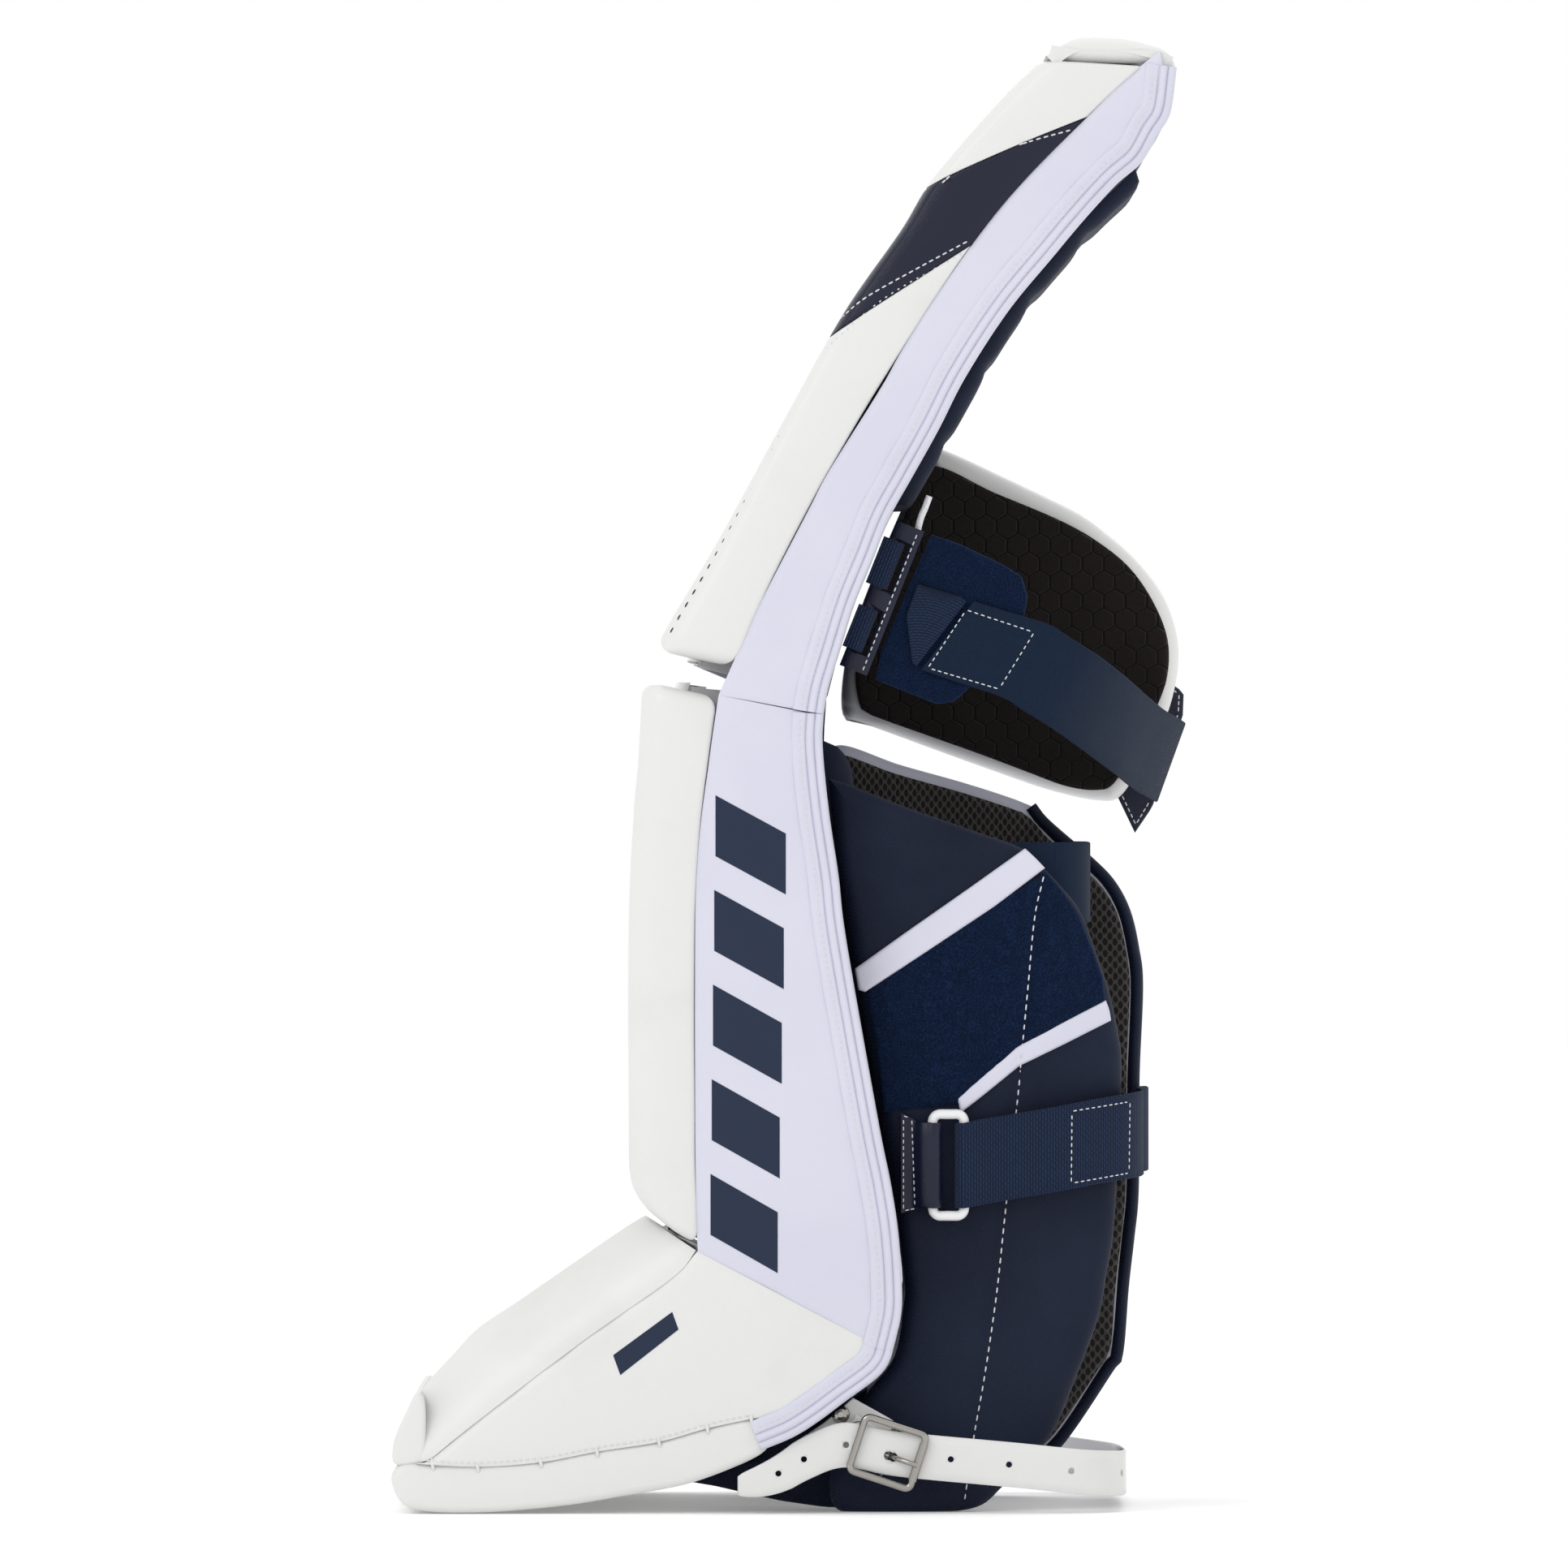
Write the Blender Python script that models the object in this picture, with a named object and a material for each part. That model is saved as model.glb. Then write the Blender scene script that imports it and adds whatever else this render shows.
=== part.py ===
"""An ice-hockey goalie leg pad for the left leg, standing on its toe and its calf wraps.

Metres, +Z up. The pad faces -X, its outer side is -Y and its inner (knee) side is +Y.
The side outlines are in millimetres and are turned into metres where the meshes are made.
"""
import math
from bisect import bisect_right

import bmesh
import bpy
from mathutils import Vector

MM = 0.001

# Driving dimensions, in millimetres
HALF_WIDTH = 128.0          # the face is 256 mm across
SKIN = 2.0                  # a cover panel with its scrim
SIDE = 3.4                  # a side panel with its backing foam
GAP = 0.4                   # running clearance between neighbours
ROLL_WIDTH = 44.0           # the outer roll, across the face
FACE_DEPTH = 13.5           # how far the face lies behind the roll's front
WRAP_FACE = {-1: 104.0, 1: 94.0}    # each calf wrap's outer face, from the middle
WRAP_THICK = 12.0
BOOT_STRAP_WIDE = 20.0

OUTER = -HALF_WIDTH
INNER = HALF_WIDTH
CORE_HALF = HALF_WIDTH - SIDE - GAP - 0.2
ROLL_INNER = OUTER + ROLL_WIDTH


def clear_scene():
    for obj in list(bpy.data.objects):
        bpy.data.objects.remove(obj, do_unlink=True)


def finish(name, colour, roughness=0.6, metallic=0.0):
    """A plain Principled material."""
    material = bpy.data.materials.new(name)
    material.use_nodes = True
    shader = material.node_tree.nodes["Principled BSDF"]
    shader.inputs["Base Color"].default_value = (*colour, 1.0)
    shader.inputs["Roughness"].default_value = roughness
    shader.inputs["Metallic"].default_value = metallic
    return material


clear_scene()
WHITE_LEATHER = finish("white_leather", (0.84, 0.84, 0.82), 0.45)
NAVY_LEATHER = finish("navy_leather", (0.012, 0.018, 0.05), 0.45)
WHITE_NYLON = finish("white_nylon", (0.75, 0.75, 0.84), 0.6)
NAVY_NYLON = finish("navy_nylon", (0.008, 0.013, 0.032), 0.75)
FOAM = finish("foam", (0.3, 0.3, 0.32), 0.9)
FUZZ = finish("loop_fastener", (0.006, 0.02, 0.08), 0.95)
LINING = finish("hex_lining", (0.012, 0.009, 0.009), 0.8)
MESH_LINING = finish("mesh_lining", (0.04, 0.035, 0.032), 0.85)
WEBBING = finish("webbing", (0.014, 0.024, 0.055), 0.7)
CHROME = finish("nickel", (0.7, 0.7, 0.7), 0.2, 1.0)
WHITE_PLASTIC = finish("white_plastic", (0.85, 0.85, 0.85), 0.35)


def mesh_object(name, points, faces, material, smooth=False):
    """One closed mesh from points in millimetres, its faces turned outward."""
    mesh = bpy.data.meshes.new(name)
    mesh.from_pydata([Vector(p) * MM for p in points], [], faces)
    bm = bmesh.new()
    bm.from_mesh(mesh)
    bmesh.ops.recalc_face_normals(bm, faces=bm.faces)
    bm.to_mesh(mesh)
    bm.free()
    mesh.materials.append(material)
    obj = bpy.data.objects.new(name, mesh)
    bpy.context.scene.collection.objects.link(obj)
    if smooth:
        mesh.shade_smooth()
        mesh.set_sharp_from_angle(angle=math.radians(40))
    return obj


def loft(name, rings, material, smooth=False):
    """A solid skinned over rings of points, capped at both ends."""
    count = len(rings[0])
    points = [p for ring in rings for p in ring]
    faces = [tuple(range(count)), tuple(range(len(points) - count, len(points)))[::-1]]
    for row in range(len(rings) - 1):
        for k in range(count):
            near, far = row * count + k, row * count + (k + 1) % count
            faces.append((near, far, far + count, near + count))
    return mesh_object(name, points, faces, material, smooth)


def prism(name, outline, y_low, y_high, material):
    """A flat plate: a side-view outline between two depths."""
    return loft(name, [[(x, y, z) for x, z in outline] for y in (y_low, y_high)], material)


def smooth_points(points, steps=6):
    """A Catmull-Rom curve through the points."""
    ends = [points[0]] + list(points) + [points[-1]]
    vectors = [Vector(p) for p in ends]
    found = []
    for a, b, c, d in zip(vectors, vectors[1:], vectors[2:], vectors[3:]):
        for k in range(steps):
            t = k / steps
            found.append(0.5 * (2 * b + (c - a) * t + (2 * a - 5 * b + 4 * c - d) * t ** 2
                                + (3 * b - a - 3 * c + d) * t ** 3))
    found.append(vectors[-2])
    return found


class Line:
    """A smooth curve that is read by its share of the length, from 0 to 1."""

    def __init__(self, *points):
        self.points = smooth_points(points)
        self.runs = [0.0]
        for a, b in zip(self.points, self.points[1:]):
            self.runs.append(self.runs[-1] + (b - a).length)

    def at(self, share):
        run = min(max(share, 0.0), 1.0) * self.runs[-1]
        k = min(max(bisect_right(self.runs, run) - 1, 0), len(self.points) - 2)
        part = (run - self.runs[k]) / (self.runs[k + 1] - self.runs[k])
        return self.points[k].lerp(self.points[k + 1], part)


def value_at(table, z):
    """Straight-line reading of a table of (z, value) that runs upward."""
    for (z0, v0), (z1, v1) in zip(table, table[1:]):
        if z <= z1:
            return v0 + (v1 - v0) * (z - z0) / (z1 - z0)
    return table[-1][1]


class Section:
    """A padded length of the pad: its front line, the roll's seam and the back edge."""

    def __init__(self, front, seam, edge):
        self.lines = {"front": Line(*front), "seam": Line(*seam), "edge": Line(*edge)}

    def point(self, share, line, back, y):
        """The point of one line, moved toward the back edge, at depth y."""
        across = (self.lines["edge"].at(share) - self.lines["front"].at(share)).normalized()
        place = self.lines[line].at(share) + across * back
        return (place.x, y, place.y)

    def sweep(self, name, ring, shares, material, slant=(0.0, 0.0), smooth=False):
        """Lofts a ring of (line, back, y, lean); lean takes a share of each end's slant."""
        first, last = shares[0], shares[-1]
        rings = []
        for share in shares:
            end = (share - first) / (last - first)
            lean = slant[0] * (1 - end) + slant[1] * end
            rings.append([self.point(share + lean * c[3], *c[:3]) for c in ring])
        return loft(name, rings, material, smooth)


def shares(low, high, count):
    return [low + (high - low) * k / (count - 1) for k in range(count)]


STATIONS = 24               # cross-sections along a padded length, the same for all its layers


def stations(low, high):
    """The shared cross-sections between two shares of the length, and both ends."""
    inside = [k / STATIONS for k in range(STATIONS + 1)]
    return [low] + [s for s in inside if low + 0.004 < s < high - 0.004] + [high]


THIGH = Section(
    front=[(-58, 381), (-32.4, 431), (-1.4, 488.5), (24, 534), (58, 585.5), (94.7, 629), (121, 652)],
    seam=[(-27, 374), (-9.7, 413), (17, 464), (49, 517), (87.5, 573.5), (131, 620), (163, 650)],
    edge=[(16.3, 363), (27.6, 404), (43, 442), (64.7, 481), (95.8, 534), (129, 574), (155, 600),
          (168, 622), (170.5, 642)],
)
SHIN = Section(
    front=[(-58, 131), (-66.6, 141), (-71.3, 175), (-71.3, 260), (-69, 311), (-64, 370)],
    seam=[(-42, 122.5), (-43, 175), (-43, 260), (-40, 311), (-33, 365.5)],
    edge=[(45, 74.5), (48.6, 101.5), (38, 175), (24, 254), (15, 325), (15.8, 361.5)],
)
BOOT = Section(
    front=[(-176.5, 25), (-172, 42.5), (-161.6, 60), (-140, 82), (-99.7, 109), (-70, 126)],
    seam=[(-169.5, 23), (-161.6, 24.5), (-140, 41), (-94, 76), (-53.7, 104), (-46, 110)],
    edge=[(-168, 22), (-140, 20.5), (-112, 22.5), (-87, 27), (-59.5, 31.5), (-30, 36), (-8, 37),
          (6, 38.5), (23.4, 50), (37, 60), (43.5, 71.3)],
)

# Cross-sections shared by the three padded lengths: (line, distance back, depth y, lean)
CORE_RING = [
    ("seam", 1.0, -CORE_HALF, 0), ("edge", -8.0, -CORE_HALF, 0), ("edge", -8.0, -121, 0),
    ("edge", -3.0, -121, 0), ("edge", -3.0, CORE_HALF, 0), ("front", FACE_DEPTH + 2.5, CORE_HALF, 0),
    ("front", FACE_DEPTH + 2.5, ROLL_INNER + 0.8, 0), ("seam", 1.0, ROLL_INNER + 0.8, 0),
]
FACE_RING = [
    ("front", FACE_DEPTH, ROLL_INNER + 0.8, 0), ("front", FACE_DEPTH, INNER - 7, 0),
    ("front", FACE_DEPTH + 1.2, INNER - 5, 0), ("front", FACE_DEPTH + SKIN, INNER - 4.2, 0),
    ("front", FACE_DEPTH + SKIN, ROLL_INNER + 0.8, 0),
]
ROLL_RING = [
    ("seam", -0.6, OUTER + 0.6, 1.0), ("front", 12, OUTER + 0.2, 0.4), ("front", 4, OUTER + 3, 0.14),
    ("front", 0.6, OUTER + 9, 0.03), ("front", 0, OUTER + 18, 0), ("front", 0.6, ROLL_INNER - 12, 0),
    ("front", 4, ROLL_INNER - 4, 0.1), ("front", 11, ROLL_INNER, 0.35), ("seam", -0.6, ROLL_INNER, 1.0),
]
OUTER_SIDE_RING = [
    ("seam", 0.2, OUTER, 0), ("edge", -7.6, OUTER, 0), ("edge", -7.6, OUTER + SIDE, 0),
    ("seam", 0.2, OUTER + SIDE, 0),
]
INNER_SIDE_RING = [
    ("front", FACE_DEPTH + 2.6, INNER, 0), ("edge", -3, INNER, 0), ("edge", -0.6, INNER - 2, 0),
    ("edge", -0.6, INNER - SIDE, 0), ("front", FACE_DEPTH + 2.6, INNER - SIDE, 0),
]
BACK_RING = [
    ("edge", -2.6, -121, 0), ("edge", -0.6, -121, 0), ("edge", -0.6, 121, 0), ("edge", -2.6, 121, 0),
]


BINDING_OUT = OUTER - 1
BINDING_IN = OUTER + 6.5
BINDING_RING = [
    ("edge", -7.2, OUTER, 0), ("edge", -5, BINDING_OUT, 0), ("edge", -1.5, BINDING_OUT, 0),
    ("edge", 0, BINDING_OUT + 2, 0), ("edge", 0, BINDING_IN - 1, 0), ("edge", -1.2, BINDING_IN, 0),
    ("edge", -7.2, BINDING_IN, 0),
]


TOP_SHARE = 0.955           # where the thigh's layers end, under the top panel

# ---- Thigh rise -------------------------------------------------------------------------------
THIGH.sweep("thigh_core", CORE_RING, stations(0.0, TOP_SHARE), FOAM)
THIGH.sweep("thigh_face_cover", FACE_RING, stations(0.0, TOP_SHARE), WHITE_LEATHER)
THIGH.sweep("thigh_back_panel", BACK_RING, stations(0.0, TOP_SHARE), NAVY_NYLON)
THIGH.sweep("thigh_outer_side_panel", OUTER_SIDE_RING, stations(0.0, TOP_SHARE), WHITE_NYLON)
THIGH.sweep("thigh_inner_side_panel", INNER_SIDE_RING, stations(0.0, TOP_SHARE), WHITE_NYLON)
THIGH.sweep("thigh_edge_binding", BINDING_RING, stations(0.003, TOP_SHARE), WHITE_NYLON)

BAND_LOW = (0.494, 0.150)       # share on the front line, and how much higher on the seam
BAND_HIGH = (0.733, 0.135)
SEAM_GAP = 0.004
THIGH.sweep("thigh_roll_lower", ROLL_RING, stations(0.0, BAND_LOW[0] - SEAM_GAP), WHITE_LEATHER,
            (0.0, BAND_LOW[1]), True)
THIGH.sweep("thigh_roll_band", ROLL_RING, stations(BAND_LOW[0], BAND_HIGH[0]), NAVY_LEATHER,
            (BAND_LOW[1], BAND_HIGH[1]), True)
THIGH.sweep("thigh_roll_cap", ROLL_RING, stations(BAND_HIGH[0] + SEAM_GAP, TOP_SHARE), WHITE_LEATHER,
            (BAND_HIGH[1], 0.0), True)
TOP_OUTLINE = [(118.8, 650.8), (130, 654.2), (148, 653.6), (162, 650), (169.4, 643)]
top_floor = [THIGH.point(TOP_SHARE + 0.012, *place, 0)
             for place in (("edge", -0.6), ("seam", 0), ("front", 0.4))]
top_rings = []
for y, drop in ((OUTER + 2, 1.5), (OUTER + 12, 0), (INNER - 14, 0), (INNER - 4, 1.5)):
    top_rings.append([(x, y, z - drop) for x, z in TOP_OUTLINE] + [(x, y, z) for x, _, z in top_floor])
loft("thigh_top_panel", top_rings, WHITE_LEATHER)
BACK_PAD_RING = [
    ("edge", 0.0, -90, 0), ("edge", 7, -87, 0), ("edge", 9, -80, 0), ("edge", 9, 80, 0),
    ("edge", 7, 87, 0), ("edge", 0.0, 90, 0),
]
THIGH.sweep("thigh_back_cushion", BACK_PAD_RING, stations(0.28, 0.86), NAVY_NYLON)

# ---- Shin -------------------------------------------------------------------------------------
SHIN.sweep("shin_core", CORE_RING, stations(0.0, 1.0), FOAM)
SHIN.sweep("shin_face_cover", FACE_RING, stations(0.0, 1.0), WHITE_LEATHER)
SHIN.sweep("shin_outer_roll", ROLL_RING, stations(0.0, 1.0), WHITE_LEATHER, smooth=True)
SHIN.sweep("shin_back_panel", BACK_RING, stations(0.003, 0.998), NAVY_NYLON)
SHIN.sweep("shin_outer_side_panel", OUTER_SIDE_RING, stations(0.0, 1.0), WHITE_NYLON)
SHIN.sweep("shin_inner_side_panel", INNER_SIDE_RING, stations(0.0, 1.0), WHITE_NYLON)
SHIN.sweep("shin_edge_binding", BINDING_RING, stations(0.003, 0.997), WHITE_NYLON)
SHIN_REST_RING = [
    ("edge", 0.0, -70, 0), ("edge", 9, -66, 0), ("edge", 13, -48, 0), ("edge", 13, 48, 0),
    ("edge", 9, 66, 0), ("edge", 0.0, 70, 0),
]
SHIN.sweep("shin_rest_cushion", SHIN_REST_RING, stations(0.20, 0.94), NAVY_NYLON)

# ---- Boot -------------------------------------------------------------------------------------
BOOT_CORE_RING = [
    ("seam", 1.0, -CORE_HALF, 0), ("edge", -3.2, -CORE_HALF, 0), ("edge", -3.2, CORE_HALF, 0),
    ("front", FACE_DEPTH + 2.5, CORE_HALF, 0), ("front", FACE_DEPTH + 2.5, ROLL_INNER + 0.8, 0),
    ("seam", 1.0, ROLL_INNER + 0.8, 0),
]
BOOT_ROLL_RING = [
    ("seam", -0.6, OUTER + 0.6, 0), ("front", 7, OUTER + 14, 0), ("front", 0.8, OUTER + 26, 0),
    ("front", 0, OUTER + 34, 0), ("front", 3, ROLL_INNER - 3, 0), ("front", 9, ROLL_INNER, 0),
    ("seam", -0.6, ROLL_INNER, 0),
]
BOOT_SIDE_RING = [
    ("seam", 0.2, OUTER, 0), ("edge", -0.6, OUTER, 0), ("edge", -0.6, OUTER + SIDE, 0),
    ("seam", 0.2, OUTER + SIDE, 0),
]
BOOT_INNER_RING = [
    ("front", FACE_DEPTH + 2.6, INNER, 0), ("edge", -0.6, INNER, 0), ("edge", -0.6, INNER - SIDE, 0),
    ("front", FACE_DEPTH + 2.6, INNER - SIDE, 0),
]
TOE = 0.14                  # share of the boot's length that the toe cap takes
BOOT.sweep("boot_core", BOOT_CORE_RING, stations(TOE + 0.01, 1.0), FOAM)
BOOT.sweep("boot_face_cover", FACE_RING, stations(TOE, 1.0), WHITE_LEATHER)
BOOT.sweep("boot_outer_roll", BOOT_ROLL_RING, stations(TOE, 1.0), WHITE_LEATHER, smooth=True)
BOOT.sweep("boot_outer_side_panel", BOOT_SIDE_RING, stations(TOE, 1.0), WHITE_LEATHER)
BOOT.sweep("boot_inner_side_panel", BOOT_INNER_RING, stations(TOE, 1.0), WHITE_LEATHER)
BOOT.sweep("boot_sole_panel", [(c[0], c[1], c[2] * CORE_HALF / 121, 0) for c in BACK_RING],
           stations(TOE, 0.998), NAVY_NYLON)
TOE_FRONT = [(-177.6, 24.6), (-175.4, 36)]
toe_back = [BOOT.point(TOE - 0.006, line, back, 0) for line, back in (("front", 0), ("seam", 0), ("edge", 0))]
TOE_OUTLINE = TOE_FRONT + [(p[0], p[2]) for p in toe_back]
prism("boot_toe_cap", TOE_OUTLINE, OUTER + 3, INNER - 3, WHITE_LEATHER)
WELT_DROP = 1.0
welt = [BOOT.lines["edge"].at(s) for s in shares(0.0, 0.70, 12)]
ROLL_BOTTOM = [(-12.4, 27), (-42, 15), (-71, 9.4), (-105.5, 3.5), (-138, 0), (-162, 0), (-172, 4),
               (-177.6, 11), (-178.6, 16.5), (-177.2, 23.4)]
prism("boot_toe_bumper", [(p.x, p.y - WELT_DROP) for p in welt] + ROLL_BOTTOM, OUTER + 1, INNER - 1,
      WHITE_LEATHER)
SKIRT = [(-46, 12.4), (-41, 14), (-13, 24.8), (-10, 33), (7, 36), (20, 45), (34, 54), (34, 0.6), (15, 1),
         (-6, 4), (-35, 10.6)]
SKIRT_DEPTH = (72, 78)      # the boot's leather skirts, from the middle
for label, side in (("outer", -1), ("inner", 1)):
    low, high = sorted(side * y for y in SKIRT_DEPTH)
    prism("heel_skirt_" + label, SKIRT, low, high, NAVY_NYLON)

# ---- Boot strap: pivots on two rivets, and is closed by a centre-bar buckle ---------------------
DOME = (21.6, 43.8)         # the rivet that fixes the outer anchor tab
PIVOT = (29.5, 36.8)        # the rivets that the strap's two ends turn on
SHANK = 1.8
ANCHOR_DEPTH = (112.6, 114.2)


def disc(centre, radius, count=16):
    turns = [math.tau * k / count for k in range(count)]
    return [(centre[0] + radius * math.cos(a), centre[1] + radius * math.sin(a)) for a in turns]


def turned(name, centre, profile, material, count=16):
    """A solid of revolution about a line along Y: (y, radius) from end to end."""
    rings = [[(x, y, z) for x, z in disc(centre, radius, count)] for y, radius in profile]
    return loft(name, rings, material, True)


def cut(obj, centre, radius, y_low, y_high):
    """A round hole along Y."""
    rings = [[(x, y, z) for x, z in disc(centre, radius)] for y in (y_low, y_high)]
    tool = loft("cutter_" + obj.name + "_%d" % len(obj.modifiers), rings, FOAM)
    tool.hide_render = True
    tool.display_type = 'WIRE'
    hole = obj.modifiers.new("hole", 'BOOLEAN')
    hole.operation = 'DIFFERENCE'
    hole.object = tool


def rivet(name, centre, side, depth, dome):
    """A rivet whose head sits at a depth; it clenches on the anchor tab's back."""
    rise = 2.8 if dome else 0.8
    profile = [(depth + rise, 1.2), (depth + rise * 0.85, 2.7), (depth + rise * 0.45, 3.7), (depth, 4.1),
               (depth - 0.01, SHANK), (ANCHOR_DEPTH[0] - 0.3, SHANK), (ANCHOR_DEPTH[0] - 0.31, 3.4),
               (ANCHOR_DEPTH[0] - 1.2, 3.4)]
    turned(name, centre, [(side * y, radius) for y, radius in profile], CHROME)


ANCHOR = [(3, 32.6), (14, 40), (27, 51.2), (46, 40.6), (38, 26), (16, 24)]
for label, side in (("outer", -1), ("inner", 1)):
    low, high = sorted(side * y for y in ANCHOR_DEPTH)
    tab = prism("boot_anchor_" + label, ANCHOR, low, high, WHITE_LEATHER)
    cut(tab, PIVOT, SHANK + 0.25, low - 5, high + 5)
    if side < 0:
        cut(tab, DOME, SHANK + 0.25, low - 5, high + 5)
rivet("boot_rivet", DOME, -1, 114.6, True)
rivet("boot_pivot_outer", PIVOT, -1, 116.6, False)
rivet("boot_pivot_inner", PIVOT, 1, 116.7, False)


def band(name, centres, across, width, thick, material, smooth=True):
    """A flat strap: a rectangle carried along its centre line, its width along across."""
    points = [Vector(c) for c in centres]
    wides = [Vector(a).normalized() for a in across] if isinstance(across, list) else \
        [Vector(across).normalized()] * len(points)
    rings = []
    for k, (centre, wide) in enumerate(zip(points, wides)):
        run = (points[min(k + 1, len(points) - 1)] - points[max(k - 1, 0)]).normalized()
        wide = (wide - run * wide.dot(run)).normalized()
        out = run.cross(wide).normalized()
        half = width / 2 if not callable(width) else width(k / (len(points) - 1)) / 2
        rings.append([centre + wide * half * a + out * thick / 2 * b
                      for a, b in ((1, 1), (1, -1), (-1, -1), (-1, 1))])
    return loft(name, rings, material, smooth)


def wrap(centre, radius, start, stop, z, count=8):
    """Points round a bar that stands along Z, between two angles in degrees."""
    angles = [math.radians(start + (stop - start) * k / (count - 1)) for k in range(count)]
    return [(centre[0] + radius * math.cos(a), centre[1] + radius * math.sin(a), z) for a in angles]


BUCKLE = Vector((42.4, -126.3, 27.2))          # the middle of the frame
ALONG = Vector((0.951, 0, -0.309))             # along the strap at the buckle
UPRIGHT = Vector((0.309, 0, 0.951))            # along the frame's bars
OUTWARD = Vector((0, -1, 0))


def buckle_point(along, up, out=0.0):
    return BUCKLE + ALONG * along + UPRIGHT * up + OUTWARD * out


def tube(name, path, radius, material, closed=False, sides=8):
    """A round bar along a path; each ring's frame is carried on from the one before."""
    points = [Vector(p) for p in path]
    last = len(points) - 1
    rings = []
    side = None
    for k, point in enumerate(points):
        if closed:
            run = (points[(k + 1) % len(points)] - points[k - 1]).normalized()
        else:
            run = (points[min(k + 1, last)] - points[max(k - 1, 0)]).normalized()
        if side is None:
            side = run.orthogonal()
        side = (side - run * side.dot(run)).normalized()
        other = run.cross(side)
        rings.append([point + side * radius * math.cos(math.tau * j / sides)
                      + other * radius * math.sin(math.tau * j / sides) for j in range(sides)])
    if not closed:
        return loft(name, rings, material, True)
    points = [p for ring in rings for p in ring]
    total = len(points)
    faces = [(r * sides + j, r * sides + (j + 1) % sides, ((r + 1) * sides + (j + 1) % sides) % total,
              ((r + 1) * sides + j) % total) for r in range(len(rings)) for j in range(sides)]
    return mesh_object(name, points, faces, material, True)


def rounded_loop(half_along, half_up, corner, steps=4):
    """Points round a rectangle with round corners, as (along, up)."""
    found = []
    for quarter, (a, u) in enumerate(((1, 1), (-1, 1), (-1, -1), (1, -1))):
        for k in range(steps + 1):
            turn = math.radians(90 * quarter + 90 * k / steps)
            found.append((a * (half_along - corner) + corner * math.cos(turn),
                          u * (half_up - corner) + corner * math.sin(turn)))
    return found


FRAME_HALF = (14.2, 12.6)
BAR = 1.6
frame = tube("buckle_frame", [buckle_point(a, u) for a, u in rounded_loop(*FRAME_HALF, 3)], BAR, CHROME, True)
CENTRE_BAR_DEPTH = -7.8
bar_path = [buckle_point(0, FRAME_HALF[1]), buckle_point(0, FRAME_HALF[1], -3),
            buckle_point(0, FRAME_HALF[1] - 0.6, -5.6),
            buckle_point(0, FRAME_HALF[1] - 2.6, CENTRE_BAR_DEPTH),
            buckle_point(0, 0, CENTRE_BAR_DEPTH), buckle_point(0, 2.6 - FRAME_HALF[1], CENTRE_BAR_DEPTH),
            buckle_point(0, 0.6 - FRAME_HALF[1], -5.6), buckle_point(0, -FRAME_HALF[1], -3),
            buckle_point(0, -FRAME_HALF[1])]
centre_bar = tube("cutter_centre_bar", bar_path, 1.3, CHROME)
centre_bar.hide_render = True
centre_bar.display_type = 'WIRE'
union = frame.modifiers.new("centre_bar", 'BOOLEAN')
union.operation = 'UNION'
union.object = centre_bar

PRONG_RADIUS = 0.9
EYE = 1.3 + 0.45 + PRONG_RADIUS
PRONG_UP = -1.2
eye_turns = [math.radians(a) for a in range(-180, 121, 30)]
eye = [buckle_point(-EYE * math.cos(a), PRONG_UP, CENTRE_BAR_DEPTH + EYE * math.sin(a)) for a in eye_turns]
PRONG = [(2.6, -3.6), (4, -1.7), (6.4, 0.8), (10, 2.6), (14.2, 2.9)]
tube("buckle_prong", eye + [buckle_point(a, PRONG_UP, out) for a, out in PRONG], PRONG_RADIUS, CHROME)

strap_tab = band("boot_strap_tab", [(25.6, -115.4, 39.6), (31, -115.4, 35.8), (38.6, -115.4, 30)],
                 (0.59, 0, 0.81), 11, 1.6, WHITE_LEATHER)
cut(strap_tab, PIVOT, SHANK + 0.3, -120, -111)

STRAP_ROUTE = [(-24, -127.4, 12.6), (-15, -125.6, 14.6), (-6, -124.6, 18), (8, -123.8, 25.6),
               (23, -123.6, 30.6), (42.4, -123.2, 27.2), (60, -123.6, 25.2), (100, -125.2, 21.6), (128, -121, 18.6),
               (144, -106, 17.4), (148, -84, 17), (149, 0, 15), (148, 84, 13.4), (144, 106, 13.6), (128, 121, 15.4),
               (100, 124, 19), (72, 123, 23), (50, 121, 29), (38, 116.4, 33), (23.6, 115.3, 39.2)]


def boot_strap_width(share):
    """Tapered at its tongue, full along its run and narrowed at its far rivet."""
    return BOOT_STRAP_WIDE * (0.45 + 0.55 * min(1, share * 22)) * (1 if share < 0.93 else 0.62)


strap = band("boot_strap", smooth_points(STRAP_ROUTE, 3), (0, 0, 1), boot_strap_width, 1.8, WHITE_LEATHER)
cut(strap, PIVOT, SHANK + 0.3, 110, 120)
for along in (3, 0.8):
    slot = buckle_point(along, PRONG_UP)
    cut(strap, (slot.x, slot.z), 2.3, -130, -116)

# ---- Calf wraps -------------------------------------------------------------------------------
WING_FRONT = [(0, 21), (40, 21), (50, 29.5), (60, 41.5), (71, 47), (88, 49.2), (101.5, 50.2), (138, 46),
              (175, 39.8), (216, 32.6), (254, 25.8), (290, 20.2), (325, 16.6), (345, 15.6)]
OUTER_REAR = [(0, 74), (12, 95), (33, 115), (60, 127), (87, 137), (103.5, 140), (120, 143), (139, 144.5),
              (199, 147), (231, 141), (267, 128.5), (287, 112.5), (295, 103), (310, 60), (325, 20)]
INNER_REAR = [(0, 84), (12, 105), (25, 122), (59, 145), (66, 149), (96, 151.5), (118, 154), (140, 156),
              (190, 156.4), (232, 158), (249, 156.3), (265.5, 152.5), (278, 146), (288, 136.5), (305.5, 116.5),
              (313.5, 110), (322, 83.5), (341, 22)]


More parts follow.
